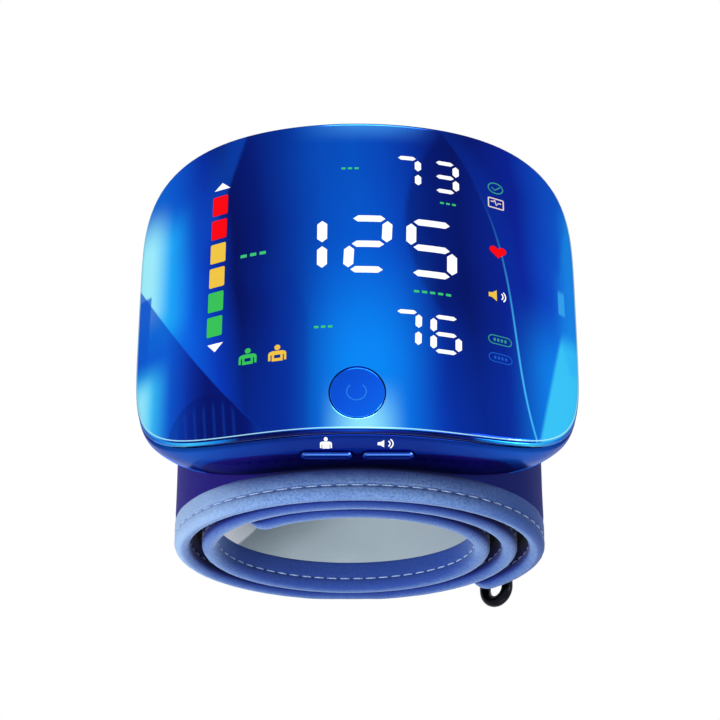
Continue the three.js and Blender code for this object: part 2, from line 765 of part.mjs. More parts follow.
function dRing() {
  const route = [];
  for (const end of [-1, 1]) {
    for (let step = 0; step <= wireBendSteps; step += 1) {
      const angle = Math.PI * (step / wireBendSteps + (end < 0 ? 1 : 0));
      route.push({ angle, y: end * (ringHalfLength - wireRadius - ringReach) });
    }
  }
  const rings = route.map(({ angle, y }) => Array.from({ length: wireSides }, (_, side) => {
    const round = 2 * Math.PI * side / wireSides;
    const reach = ringReach + wireRadius * Math.cos(round);
    return [reach * Math.cos(angle) - ringReach, y + reach * Math.sin(angle), wireRadius * Math.sin(round)];
  }));
  return loftGeometry(rings, true, []).rotateY(ringTilt).translate(hinge.x, 0, hinge.y);
}

function ringTab() {
  const tubeInner = wireRadius + clearance;
  const tubeOuter = tubeInner + fabricThickness;
  const tabAngle = THREE.MathUtils.radToDeg(tabLength / spiralHalfWidth);
  const seatAngle = ringAngle + THREE.MathUtils.radToDeg(ringReach / spiralHalfWidth);
  const inner = halfBand + clearance;
  const strip = woundStrip([[-tabHalf, inner], [tabHalf, inner], [tabHalf, inner + fabricThickness],
    [-tabHalf, inner + fabricThickness]], seatAngle, seatAngle + tabAngle, tabStep);
  const barrel = (radius, half) => alongY(rod(radius, -half, half, innerSides))
    .translate(hinge.x, 0, hinge.y);
  return cut(join(strip, barrel(tubeOuter, tabHalf)), barrel(tubeInner, tabHalf + overrun));
}

function caseScrew(at) {
  const shankTop = crownZ - bossJointDrop + screwBite;
  return turned([
    [0, screwHeadZ],
    [screwHeadRadius, screwHeadZ],
    [screwHeadRadius, screwHeadZ + screwHeadHeight],
    [screwRadius, screwHeadZ + screwHeadHeight],
    [screwRadius, shankTop - screwRadius],
    [0, shankTop],
  ], postSides).translate(at[0], at[1], 0);
}

add('front_panel', frontPanel(), 'panel');
add('trim_ring', trimRing(), 'trim');
add('display_frame', displayFrame(), 'black');
add('lower_case', lowerCase(), 'gloss');
add('light_guide', lightGuide(), 'inner');
add('start_button', startButton(), 'panel');
add('user_button', sideButton(sideButtonXs[0]), 'gloss');
add('voice_button', sideButton(sideButtonXs[1]), 'gloss');
add('start_switch', startSwitch(), 'black');
add('user_switch', sideSwitch(sideButtonXs[0]), 'black');
add('voice_switch', sideSwitch(sideButtonXs[1]), 'black');
add('main_board', mainBoard(), 'board');
add('charging_port', chargingPort(), 'metal');
add('battery_cell', cylinderAlongY(cellRadius, cellLength, cellX, cellY), 'cell');
add('pump_motor', cylinderAlongY(motorRadius, motorLength, pumpX, motorY), 'metal');
add('pump_head', pumpHead(), 'black');
add('exhaust_valve', exhaustValve(), 'metal');
add('speaker', cylinderAlongY(speakerRadius, speakerThickness, speakerX, speakerY, speakerZ), 'black');
add('air_manifold', airManifold(), 'inner');
add('pump_tube', airTube(pumpX - headWidth / 2 - clearance, pumpPortY), 'rubber');
add('valve_tube', airTube(pumpX - valveRadius - clearance, valvePortY), 'rubber');
add('pressure_sensor', pressureSensor(), 'black');
add('air_nozzle', airNozzle(), 'inner');
bossPlaces.forEach((at, index) => add(`case_screw_${index + 1}`, caseScrew(at), 'metal'));

add('cuff_cover', cut(layer(coverHalf, coverInner, halfBand, coreStart, coverEnd), nozzleOpening()),
  'fabric');
add('cuff_lining', layer(coverHalf, -halfBand, -coverInner, coreStart, coverEnd), 'lining');
add('cuff_stiffener', cut(layer(coverHalf, stiffenerInner, stiffenerOuter, coreStart, bladderEnd),
  nozzleOpening()), 'inner');
add('cuff_bladder', layer(coverHalf, bladderInner, bladderOuter, coreStart, bladderEnd), 'rubber');
add('tail_padding', layer(coverHalf, -stiffenerOuter, stiffenerOuter, bladderEnd + gapAngle * 2, coreEnd),
  'rubber');
add('front_hem', edgeHem(-1), 'hem');
add('rear_hem', edgeHem(1), 'hem');
add('outer_end_hem', endHem(outerEndAngle), 'hem');
add('inner_end_hem', endHem(innerEndAngle - endHemAngle), 'hem');
add('hook_patch', layer(patchHalf, halfBand + clearance, halfBand + clearance + patchThickness,
  patchStart, patchEnd), 'fabric');
add('ring_tab', ringTab(), 'fabric');
add('d_ring', dRing(), 'black');

export default monitor;
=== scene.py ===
"""A wrist blood pressure monitor: an arched glossy blue housing on a wound fabric cuff.

Shapes are worked out in millimetres, in the frame of the solid model, and turned into metres as
each mesh is made. X runs across the display, Y to the back and Z up.
"""

import math

import bmesh
import bpy
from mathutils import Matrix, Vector, geometry, noise


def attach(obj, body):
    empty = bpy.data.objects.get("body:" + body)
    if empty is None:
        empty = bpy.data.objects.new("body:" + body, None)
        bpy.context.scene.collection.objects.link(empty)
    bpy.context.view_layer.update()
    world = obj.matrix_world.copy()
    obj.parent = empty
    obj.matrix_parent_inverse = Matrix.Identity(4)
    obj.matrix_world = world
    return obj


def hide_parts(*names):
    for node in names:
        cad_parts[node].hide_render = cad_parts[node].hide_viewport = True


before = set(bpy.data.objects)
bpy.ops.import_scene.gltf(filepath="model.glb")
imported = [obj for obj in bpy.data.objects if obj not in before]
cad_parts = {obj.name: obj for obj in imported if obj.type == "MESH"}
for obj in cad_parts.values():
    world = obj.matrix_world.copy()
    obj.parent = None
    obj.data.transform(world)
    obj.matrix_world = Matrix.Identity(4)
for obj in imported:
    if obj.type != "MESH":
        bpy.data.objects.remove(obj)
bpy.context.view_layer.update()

MM = 0.001

# The housing, as in the solid model.
BODY_WIDTH = 84
BODY_DEPTH = 64
OUTLINE_POWER = 5
ARCH_RADIUS = 55
CROWN_Z = 74.3
WALL_HEIGHT = 18.7
SIDE_DROP = 9.6
FOOT_POWER = 3.8
FOOT_INSET = 0.6
WALL_TAPER = 0.8
WALL_THICKNESS = 1.8
WALL_TOP = 3.6
INNER_DROP = 8
PANEL_TOP = 0.05
PANEL_INSET = 1.6
PANEL_THICKNESS = 1.7
BRIM_INSET = 0.1
BRIM_THICKNESS = 0.8
GAP = 0.3

# The buttons.
START_Y = -25
START_RADIUS = 4.98
START_GAP = 0.15
SIDE_XS = (-5.6, 5.6)
SIDE_Z = CROWN_Z - 11.7
SIDE_LENGTH = 9.6
SIDE_HEIGHT = 2.6
SIDE_FACE_Y = -32.6

# The back and the underside.
PORT_X = 17.5
PORT_Z = CROWN_Z - 16.8
PORT_WIDTH = 9
PORT_HEIGHT = 3.2
SLOT_X = -25.6
SLOT_Z = CROWN_Z - 18.6
SLOT_PITCH = 1.7
SLOT_WIDTH = 0.9
SLOT_TALL = 5
SCREW_X = 36.4
SCREW_Y = 17.2
SCREW_Z = 47
SCREW_RADIUS = 1.6

# The wound band.
BAND_WIDTH = 74.4
HALF_BAND = 1.6
SPIRAL_X = -0.9
SPIRAL_Z = 26.35
SPIRAL_HALF_WIDTH = 36
SPIRAL_HALF_HEIGHT = 28.4
SIDE_PITCH = 5.35
TOP_PITCH = 4.2
BAND_START = -50
BAND_END = 870
HEM_WIDTH = 6
FABRIC = 0.6

# The oblong ring.
HINGE_X = 30.568
HINGE_Z = 5.527
WIRE_RADIUS = 1.15
RING_REACH = 2.85
RING_HALF_LENGTH = 39.6
RING_TILT = math.atan2(0.668, 0.744)

HALF_WIDTH = BODY_WIDTH / 2
HALF_DEPTH = BODY_DEPTH / 2


def colour(red, green, blue):
    """The linear colour of a screen colour from 0 to 255."""
    shares = [value / 255 for value in (red, green, blue)]
    linear = [s / 12.92 if s <= 0.04045 else ((s + 0.055) / 1.055) ** 2.4 for s in shares]
    return (*linear, 1)


def dimmed(shade, share):
    return (*(value * share for value in shade[:3]), 1)


class Finish:
    """A material whose nodes are added in short calls."""

    def __init__(self, name, **sockets):
        self.material = bpy.data.materials.new(name)
        self.material.use_nodes = True
        self.tree = self.material.node_tree
        self.shader = self.tree.nodes["Principled BSDF"]
        self.use(**sockets)
        self.place = self.add("TexCoord", "Object")

    def feed(self, node, inputs):
        """Links a node's inputs to other nodes, or sets them to numbers and colours."""
        for label, value in inputs.items():
            if isinstance(value, bpy.types.NodeSocket):
                self.tree.links.new(value, node.inputs[label])
            else:
                node.inputs[label].default_value = value

    def add(self, kind, output, inputs=None, **settings):
        """Adds a node with these settings and inputs, and gives one of its outputs."""
        made = self.tree.nodes.new("ShaderNode" + kind)
        for key, value in settings.items():
            setattr(made, key, value)
        self.feed(made, inputs or {})
        return made.outputs[output]

    def use(self, **sockets):
        self.feed(self.shader, {label.replace("_", " "): value for label, value in sockets.items()})
        return self.material

    def stretched(self, *scale):
        return self.add("Mapping", "Vector", {"Vector": self.place, "Scale": scale})

    def axes(self, vector):
        return self.add("SeparateXYZ", "X", {"Vector": vector}).node.outputs.values()

    def noise(self, scale, detail=3, source=None, roughness=0.5):
        return self.add("TexNoise", "Fac", {
            "Vector": source or self.place, "Scale": scale, "Detail": detail, "Roughness": roughness})

    def wave(self, scale, source, direction, distortion, detail_scale=1.0):
        return self.add("TexWave", "Fac", {
            "Vector": source, "Scale": scale, "Distortion": distortion, "Detail": 1,
            "Detail Scale": detail_scale}, bands_direction=direction)

    def maths(self, operation, *values):
        return self.add("Math", "Value", dict(enumerate(values)), operation=operation)

    def times(self, *values):
        product = values[0]
        for value in values[1:]:
            product = self.maths("MULTIPLY", product, value)
        return product

    def line(self, value, slope, start):
        return self.maths("MULTIPLY_ADD", value, slope, start)

    def less(self, first, second):
        return self.maths("SUBTRACT", first, second)

    def off(self, value, middle):
        """How far a value is from a middle, on either side."""
        return self.maths("ABSOLUTE", self.less(value, middle))

    def between(self, value, low, high, low_out=0.0, high_out=1.0, curve="SMOOTHSTEP"):
        return self.add("MapRange", "Result", {
            "Value": value, "From Min": low, "From Max": high, "To Min": low_out, "To Max": high_out,
        }, interpolation_type=curve)

    def mix(self, share, first, second):
        return self.add("Mix", "Result", {"Factor": share, "A": first, "B": second}, data_type="RGBA")

    def bump(self, height, strength, distance):
        return self.add("Bump", "Normal", {"Height": height, "Strength": strength, "Distance": distance * MM})

    def sheltered(self, reach, start, full):
        """How closed in a place is by what lies within this reach in millimetres."""
        open_share = self.add("AmbientOcclusion", "AO", {"Distance": reach * MM}, samples=8)
        return self.between(open_share, full, start, 1.0, 0.0)


# Shapes of the housing, in millimetres.


def arch_z(x):
    return CROWN_Z + math.sqrt(ARCH_RADIUS ** 2 - x * x) - ARCH_RADIUS


def on_arch(x, y, depth):
    return x, y, arch_z(x) - depth


def outline(angle, inset, power=OUTLINE_POWER):
    a = HALF_WIDTH - inset
    b = HALF_DEPTH - inset
    reach = (abs(math.cos(angle) / a) ** power + abs(math.sin(angle) / b) ** power) ** (-1 / power)
    return reach * math.cos(angle), reach * math.sin(angle)


def outline_from(centre_y, angle, inset):
    """The place on the outline that is seen at this angle from a place on the Y axis."""
    half_width, half_depth = HALF_WIDTH - inset, HALF_DEPTH - inset
    low, high = 0.0, BODY_WIDTH
    for _ in range(40):
        reach = (low + high) / 2
        x = reach * math.cos(angle)
        y = centre_y + reach * math.sin(angle)
        if (abs(x) / half_width) ** OUTLINE_POWER + (abs(y) / half_depth) ** OUTLINE_POWER > 1:
            high = reach
        else:
            low = reach
    return low * math.cos(angle), centre_y + low * math.sin(angle)


def band_point(angle, outward=0.0):
    """The place in X and Z on the band at an angle in degrees, this far out from its middle."""
    turn = math.radians(angle)
    wide = SPIRAL_HALF_WIDTH - SIDE_PITCH * angle / 360
    high = SPIRAL_HALF_HEIGHT - TOP_PITCH * angle / 360
    along = Vector((-wide * math.sin(turn), high * math.cos(turn))).normalized()
    x = SPIRAL_X + wide * math.cos(turn) + along.y * outward
    z = SPIRAL_Z + high * math.sin(turn) - along.x * outward
    return x, max(z, HALF_BAND - outward)


SADDLE = sorted(band_point(step, HALF_BAND + GAP) for step in range(2, 179))


def lower_edge_z(x):
    """The lower edge of the case, which clears the band's upper side."""
    share = min(abs(x) / HALF_WIDTH, 1)
    edge = CROWN_Z - WALL_HEIGHT - SIDE_DROP * (1 - math.cos(math.pi * share)) / 2
    for (left, left_z), (right, right_z) in zip(SADDLE, SADDLE[1:]):
        if left <= x <= right:
            edge = max(edge, left_z + (right_z - left_z) * (x - left) / (right - left))
            break
    return edge


def spline(t, a, b, c, d):
    """A value on the smooth curve through these four, at share t from the second to the third."""
    bend = (2 * a - 5 * b + 4 * c - d) * t * t + (3 * b - a - 3 * c + d) * t ** 3
    return 0.5 * (2 * b + (c - a) * t + bend)


def smooth_line(points, steps):
    """More points on a smooth curve through these."""
    ends = [points[0], *points, points[-1]]
    line = []
    for index in range(len(points) - 1):
        for step in range(steps):
            line.append(tuple(spline(step / steps, *values) for values in zip(*ends[index:index + 4])))
    return line + [tuple(points[-1])]


# Down the wall from its foot up: how far down, the share of the taper and of the rounder outline.
FOOT_LINE = [(1, 1, 1), (0.992, 0.72, 1), (0.975, 0.42, 0.99), (0.95, 0.2, 0.97), (0.91, 0.07, 0.93)]
WALL_LINE = FOOT_LINE + smooth_line(
    [(0.85, 0.0, 0.84), (0.65, 0.0, 0.52), (0.45, 0.0, 0.24), (0.25, 0.0, 0.07), (0.09, 0.0, 0.0)], 4)
WALL_LINE += [(0.05, 0.03, 0.0), (0.02, 0.13, 0.0), (0.0, 0.4, 0.0)]


def foot_power(foot):
    return OUTLINE_POWER + (FOOT_POWER - OUTLINE_POWER) * min(max(foot, 0), 1)


def wall_point(angle, down, taper, foot):
    x, y = outline(angle, WALL_TAPER * max(taper, 0), foot_power(foot))
    top = arch_z(x) - WALL_TOP
    return x, y, top + (lower_edge_z(x) - top) * down


def wall_front_y(x, z):
    """How far forward the front wall is at this place."""
    top = arch_z(x) - WALL_TOP
    down = (top - z) / (top - lower_edge_z(x))
    inset, power = 0.0, OUTLINE_POWER
    for low, high in zip(WALL_LINE, WALL_LINE[1:]):
        if high[0] <= down <= low[0]:
            share = (down - low[0]) / (high[0] - low[0])
            inset = WALL_TAPER * (low[1] + (high[1] - low[1]) * share)
            power = foot_power(low[2] + (high[2] - low[2]) * share)
            break
    reach = (1 - (abs(x) / (HALF_WIDTH - inset)) ** power) ** (1 / power)
    return -(HALF_DEPTH - inset) * reach


# Mesh making.

WELD = 1e-7


def mesh_of(name, places, faces, weld=False, cloth=None):
    """A mesh from places in millimetres, with its faces turned outwards."""
    mesh = bpy.data.meshes.new(name)
    mesh.from_pydata([Vector(place) * MM for place in places], [], faces)
    if cloth:
        layer = mesh.attributes.new("cloth", "FLOAT_VECTOR", "POINT")
        layer.data.foreach_set("vector", [number for place in cloth for number in place])
    shape = bmesh.new()
    shape.from_mesh(mesh)
    if weld:
        bmesh.ops.remove_doubles(shape, verts=shape.verts, dist=WELD)
    bmesh.ops.recalc_face_normals(shape, faces=shape.faces)
    shape.to_mesh(mesh)
    shape.free()
    return mesh


def put(name, data):
    """An object in the scene, made from a mesh, a lamp or a camera."""
    made = bpy.data.objects.new(name, data)
    bpy.context.collection.objects.link(made)
    return made


def piece(name, places, faces, finish, body="monitor", sharp=35, cloth=None):
    """A piece that rides on a body. A cloth piece keeps its places on the cloth for its weave."""
    mesh = mesh_of(name, places, faces, cloth is None, cloth)
    mesh.shade_smooth()
    mesh.set_sharp_from_angle(angle=math.radians(sharp))
    mesh.materials.append(finish)
    made = put(name, mesh)
    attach(made, body)
    return made


def joined(parts):
    """One list of places and faces from several."""
    places, faces = [], []
    for more_places, more_faces in parts:
        start = len(places)
        places += more_places
        faces += [tuple(start + index for index in face) for face in more_faces]
    return places, faces


def loft(rows, closed_rows=True, wrap=False, caps=True):
    """Faces between rows of places. Rows are closed loops, and the last may join the first."""
    count = len(rows[0])
    places = [place for row in rows for place in row]
    faces = []
    for index in range(len(rows) if wrap else len(rows) - 1):
        here = index * count
        there = (index + 1) % len(rows) * count
        for step in range(count if closed_rows else count - 1):
            onward = (step + 1) % count
            faces.append((here + step, here + onward, there + onward, there + step))
    if caps and not wrap:
        faces.append(tuple(range(count)))
        faces.append(tuple(range((len(rows) - 1) * count, len(rows) * count)))
    return places, faces


def turns(count):
    return [2 * math.pi * step / count for step in range(count)]


def stadium(length, height, steps=12):
    """A pill outline about the origin."""
    radius = height / 2
    points = []
    for end, start in ((1, -0.5), (-1, 0.5)):
        for step in range(steps + 1):
            angle = math.pi * (step / steps + start)
            points.append((end * (length / 2 - radius) + radius * math.cos(angle), radius * math.sin(angle)))
    return points


def cut_away(made, cutters):
    """Cuts closed shapes out of a piece."""
    tool = put("cutter", mesh_of("cutter", *joined(cutters)))
    modifier = made.modifiers.new("cut", "BOOLEAN")
    modifier.object = tool
    modifier.operation = "DIFFERENCE"
    modifier.solver = "EXACT"
    bpy.context.view_layer.update()
    shaped = made.evaluated_get(bpy.context.evaluated_depsgraph_get())
    made.data = bpy.data.meshes.new_from_object(shaped)
    made.modifiers.clear()
    bpy.data.objects.remove(tool)
    made.data.shade_smooth()
    made.data.set_sharp_from_angle(angle=math.radians(30))


def prism(section, near_y, far_y, x, z):
    return loft([[(x + a, y, z + b) for a, b in section] for y in (near_y, far_y)])


def rod(radius, low, high, x, y, count=40):
    return loft([[(x + radius * math.cos(a), y + radius * math.sin(a), z) for a in turns(count)]
                 for z in (low, high)])


# Finishes of the housing.


class Lacquer(Finish):
    """Metallic lacquer whose tones, with painted reflections, highlights and shade among them, are set by
    places in millimetres.
    """

    def __init__(self, name, roughness):
        super().__init__(name, Coat_Weight=0.05, Coat_Roughness=0.03, Specular_IOR_Level=0.0,
                         Specular_Tint=(0.5, 0.5, 0.56, 1))
        slant = self.add("LayerWeight", "Facing")
        self.use(Metallic=self.between(slant, 0.8, 0.95, 1.0, 0.0))
        self.x, self.y, self.z = self.axes(self.stretched(1 / MM, 1 / MM, 1 / MM))
        rise = self.maths("SQRT", self.less(ARCH_RADIUS ** 2, self.times(self.x, self.x)))
        self.depth = self.less(self.maths("ADD", rise, CROWN_Z - ARCH_RADIUS), self.z)
        self.aside = self.off(self.x, 0)
        self.rough = self.line(self.noise(220, 4), 0.06, roughness - 0.03)

    def tones(self, value, stops):
        """Sets the shade from a list of places and screen colours."""
        low, high = stops[0][0], stops[-1][0]
        share = self.between(value, low, high, curve="LINEAR")
        self.shade = self.add("ValToRGB", "Color", {"Fac": share})
        points = self.shade.node.color_ramp.elements
        while len(points) < len(stops):
            points.new(0.5)
        for point, (at, tone) in zip(points, stops):
            point.position = (at - low) / (high - low)
            point.color = colour(*tone)

    def over(self, tone, strength, *spans):
        """Lays a tone over the shade. A span is a share, or a value and the limits that it crosses."""
        shares = [self.between(*span) if isinstance(span, tuple) else span for span in spans]
        self.shade = self.mix(self.times(*shares, strength), self.shade, colour(*tone))

    def past(self, value, along, *factors):
        """How far a place is past a curve, whose factors go from its highest power down."""
        curve = factors[0]
        for factor in factors[1:]:
            curve = self.line(along, curve, factor)
        return self.less(value, curve)

    def done(self):
        fine = self.noise(9000, 1)
        return self.use(Base_Color=self.shade, Roughness=self.rough, Normal=self.bump(fine, 0.02, 0.01))


def panel_paint():
    """The panel's lacquer, with the studio's reflections painted in: navy with painted azure reflections down
    the middle and sides, and crisp painted glints.
    """
    paint = Lacquer("panel_lacquer", 0.13)
    x, y, over, past = paint.x, paint.y, paint.over, paint.past
    # Painted reflections: bands across the panel, a darker painted tone towards the back and a lighter one
    # towards the front, and a darker painted wedge on the right.
    across = paint.line(y, 0.1, paint.line(paint.noise(34, 2), 5, x))
    paint.tones(across, [
        (-38, (14, 128, 244)), (-30, (4, 96, 226)), (-24.5, (3, 52, 178)), (-20, (1, 12, 88)),
        (-15, (1, 25, 116)), (-9, (2, 54, 160)), (-2, (2, 84, 202)), (4, (2, 90, 210)), (9, (3, 78, 200)),
        (14, (3, 56, 170)), (18, (2, 34, 134)), (23, (2, 20, 104)), (28, (3, 30, 132)), (34, (4, 32, 152)),
        (38, (4, 66, 192)), (44, (8, 98, 222))])
    over((1, 24, 112), 0.3, (y, -4, 31))
    over((4, 62, 196), 0.3, (y, 2, -30))
    wedge = past(x, y, 0.0182, -0.409, 10.44)
    over((1, 12, 88), 0.5, (wedge, 0, 1.6), (wedge, 15, 3), (y, -14, -2))

    # Painted light down the middle, hottest at the front edge and glowing at the back edge, with a darker
    # painted arch beside it.
    middle = paint.between(paint.off(x, 1.5), 15, 1)
    over((6, 142, 252), 0.85, middle, (y, 8, -20))
    over((150, 238, 255), 0.9, (paint.off(x, 1.2), 8.5, 0), (y, -21, -31.5))
    over((60, 138, 224), 0.75, middle, (y, 27, 31.8))
    above = paint.maths("MAXIMUM", paint.maths("ADD", y, 10), 0)
    arched = past(x, above, -0.041, 0, -9.1)
    over((3, 48, 160), 0.32, (arched, 0.8, -0.8), (arched, -12, -2), (y, 8, -4))

    # A painted reflection of a window on the left, and the painted dark shape below it, crossed by painted
    # slats.
    over((30, 178, 255), 0.9, (x, -30, -37), (y, -12, -3), (y, 22, 12))
    over((168, 246, 255), 0.9, (x, -35, -40), (y, -6, 0), (y, 24, 12))
    over((14, 104, 214), 0.9, (past(x, y, 0.02, -39.3), 0.1, -0.2), (y, 3.4, 2.6), (y, -16, -9))
    beneath = paint.between(past(y, x, 0.0177, -0.45, -44.14), 0.4, -0.1)
    over((5, 86, 208), 0.85, beneath, (x, -16, -20))
    over((5, 40, 158), 0.9, beneath, (x, -36.5, -30), (x, -16, -20))
    over((2, 16, 104), 0.9, beneath, (x, -32.5, -27), (x, -16, -20))
    wide = paint.line(x, 1 / 7.4, 27.6 / 7.4)
    tall = paint.line(y, 1 / 9.5, 31.5 / 9.5)
    dome = paint.line(wide, wide, paint.times(tall, tall))
    over((1, 12, 92), 0.32, (dome, 1.05, 0.95))
    slats = paint.maths("SINE", paint.line(y, 0.3, paint.times(x, 3.5)))
    over((10, 78, 200), 0.22, (slats, 0.2, 1.0), (dome, 0.92, 0.7), (y, -23, -26))

    # Painted glints on the right, from the painted dark lid at the back to the streak and the flare, and
    # painted glows down both sides.
    lid = past(x, y, 0.304, -30.73)
    over((6, 76, 198), 0.5, (lid, 0.5, -0.5), (lid, -9, -1), (y, 4, 16))
    streak = past(x, y, -0.0001456, -0.00404, -0.14, 28.31)
    over((5, 56, 178), 0.25, (streak, -0.1, 0.3), (streak, 6, 1))
    over((8, 140, 246), 0.8, (x, 27, 37.5), (y, 2, -16))
    over((60, 206, 252), 0.85, (past(x, y, 0.216, 39.7), -0.4, 0.5), (y, -4, -9))
    over((70, 190, 250), 0.6, (paint.off(x, 38.8), 0.75, 0.55), (y, -1.6, -0.8), (y, 4.4, 3))
    over((70, 190, 255), 0.9, (paint.off(streak, 0), 0.3, 0.06), (y, 24, -22))
    over((60, 204, 255), 0.9, (x, -34, -39.5), (y, -10, -18))
    over((164, 244, 255), 0.7, (x, -37.5, -40.4), (y, -13, -19))
    over((30, 170, 250), 0.4, (x, 36.5, 40.8), (paint.noise(70, 2, paint.stretched(1, 0.35, 1)), 0.46, 0.52))

    # A painted highlight: the pale line on the rounded edge.
    over((172, 232, 252), 1, (paint.depth, 0.17, 0.21), (paint.depth, 0.33, 0.27), (y, 30, 20))
    return paint.done()


def start_paint():
    """The start button's lacquer, an even blue with a paler rim that is a painted highlight."""
    paint = Lacquer("start_lacquer", 0.16)
    away = paint.maths("ADD", paint.y, -START_Y)
    distance = paint.maths("SQRT", paint.line(paint.x, paint.x, paint.times(away, away)))
    lean = paint.line(paint.noise(60, 2), 3, paint.less(paint.x, away))
    paint.tones(lean, [(-6, (6, 74, 204)), (1, (8, 84, 220)), (9, (10, 98, 232))])
    # Painted highlight: the paler rim.
    paint.over((60, 160, 250), 0.45, (distance, 4.78, 4.92))
    return paint.done()


def wall_paint():
    """The wall's lacquer: royal blue with painted reflections, lighter towards the corners, the cuff's
    reflection painted as a violet black arc along the foot, and painted shade under the ring and along the
    foot.
    """
    paint = Lacquer("wall_lacquer", 0.17)
    aside, depth, over = paint.aside, paint.depth, paint.over
    # Painted reflections, lighter towards the corners.
    paint.tones(paint.line(paint.noise(40, 2), 4, aside), [
        (0, (7, 46, 150)), (14, (7, 50, 152)), (24, (9, 66, 174)), (32, (12, 92, 206)), (37, (14, 98, 212)),
        (42, (8, 66, 178))])
    # Painted shade just under the ring.
    over((3, 16, 86), 0.6, (depth, 5.2, 3.6))
    # The cuff's painted reflection: a violet arc on the front and back faces, darker towards the middle.
    wide = paint.maths("POWER", paint.times(aside, 1 / 29), 3.2)
    tall = paint.times(paint.less(paint.z, CROWN_Z - 22.3), 1 / 11)
    within = paint.between(paint.line(tall, tall, wide), 1.05, 0.95)
    ends = paint.between(paint.off(paint.y, 0), 26, 29)
    over((42, 20, 134), 1, within, ends)
    over((20, 8, 92), 1, within, ends, (aside, 24, 10))
    # Painted shade at the far sides, lower down.
    over((8, 34, 118), 0.7, (aside, 36, 41), (depth, 4.5, 7))
    # Painted shade along the foot, where the wall turns under, and a thin reddish line right at the foot.
    swing = paint.maths("COSINE", paint.times(aside, math.pi / HALF_WIDTH))
    foot = paint.less(paint.z, paint.line(swing, SIDE_DROP / 2, CROWN_Z - WALL_HEIGHT - SIDE_DROP / 2))
    over((5, 1, 26), 0.92, (foot, 7, 0.6), (aside, 30, 14))
    over((4, 10, 70), 0.55, (foot, 3.2, 0.2), (aside, 25, 17))
    over((124, 52, 62), 0.7, (foot, 0.9, 0.3))
    return paint.done()


def rim_paint():
    """The trim ring's lacquer, with painted reflections: bright at the corners and dark where the front is
    straight, and painted shade along its lower edge.
    """
    paint = Lacquer("rim_lacquer", 0.12)
    paint.tones(paint.line(paint.noise(60, 3), 4, paint.aside), [
        (0, (10, 70, 190)), (8, (4, 30, 126)), (16, (2, 10, 70)), (23, (3, 24, 104)), (27, (18, 132, 232)),
        (33, (60, 200, 255)), (39, (22, 120, 226)), (44, (12, 60, 170))])
    # Painted shade along the lower edge.
    paint.over((1, 6, 44), 0.8, (paint.depth, 2.1, 2.35))
    return paint.done()


def key_paint():
    """The front buttons' lacquer: the wall's blue, with painted shade towards the lower edge and a painted
    highlight as a pale line along the upper edge.
    """
    paint = Lacquer("side_lacquer", 0.17)
    height = SIDE_HEIGHT / 2
    paint.tones(paint.z, [
        (SIDE_Z - height, (6, 24, 104)), (SIDE_Z - 0.2, (9, 36, 134)), (SIDE_Z + 0.75, (12, 52, 164)),
        (SIDE_Z + 1.05, (74, 126, 208)), (SIDE_Z + height, (20, 62, 170))])
    return paint.done()


def plastic(name, shade, roughness):
    """Moulded plastic with a fine grain and a little variation."""
    paint = Finish(name, Specular_IOR_Level=0.4)
    patch = paint.noise(90, 4)
    tone = paint.mix(paint.times(patch, 0.3), shade, dimmed(shade, 0.7))
    rough = paint.line(patch, 0.14, roughness - 0.07)
    return paint.use(Base_Color=tone, Roughness=rough, Normal=paint.bump(paint.noise(4200, 2), 0.25, 0.02))


def metal(name, shade, roughness):
    paint = Finish(name, Metallic=1.0)
    streak = paint.noise(700, 3, paint.stretched(1, 6, 1))
    tone = paint.mix(streak, shade, dimmed(shade, 0.75))
    return paint.use(Base_Color=tone, Roughness=paint.line(streak, 0.16, roughness - 0.08))


wall_finish = wall_paint()
rim_finish = rim_paint()
groove_finish = plastic("navy_gasket", colour(18, 38, 118), 0.45)
screw_finish = metal("screw_steel", colour(150, 152, 158), 0.3)


# The front panel, an arched plate with the start button's bore.

PANEL_STEPS = 320
PANEL_ROWS = 36
PANEL_BRIM = 0.62
PANEL_EDGE = [(0.58, 0.052), (0.44, 0.085), (0.27, 0.16), (0.12, 0.27), (0.03, 0.4), (0.0, 0.5), (0.0, 0.68),
              (0.05, 0.77), (0.14, 0.8)]
BORE_EDGE = [(0, 0.42), (0, 0.3), (0.05, 0.12), (0.16, PANEL_TOP)]


def panel_rows():
    """Closed rows from the bore's foot over the face and the rim, and back under the plate."""
    angles = turns(PANEL_STEPS)

    def bore(grow, depth):
        radius = START_RADIUS + START_GAP + grow
        return [on_arch(radius * math.cos(a), START_Y + radius * math.sin(a), depth) for a in angles]

    def rim(inset, depth):
        return [on_arch(*outline_from(START_Y, a, inset), depth) for a in angles]

    def spread(inner, outer, depth, count):
        return [[on_arch(a[0] + (b[0] - a[0]) * step / count, a[1] + (b[1] - a[1]) * step / count, depth)
                 for a, b in zip(inner, outer)] for step in range(1, count)]

    bottom = PANEL_TOP + PANEL_THICKNESS
    rows = [bore(0, bottom)] + [bore(grow, depth) for grow, depth in BORE_EDGE]
    brim = rim(BRIM_INSET + PANEL_BRIM, PANEL_TOP)
    rows += spread(rows[-1], brim, PANEL_TOP, PANEL_ROWS)
    rows.append(brim)
    rows += [rim(BRIM_INSET + out, down) for out, down in PANEL_EDGE]
    rows += [rim(PANEL_INSET, BRIM_THICKNESS), rim(PANEL_INSET, bottom)]
    rows += spread(rows[-1], rows[0], bottom, 3)
    return rows


front_panel = piece("display_panel", *loft(panel_rows(), wrap=True, caps=False), panel_paint())
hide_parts("front_panel")

# The trim ring under its edge, a polished band with rounded corners.

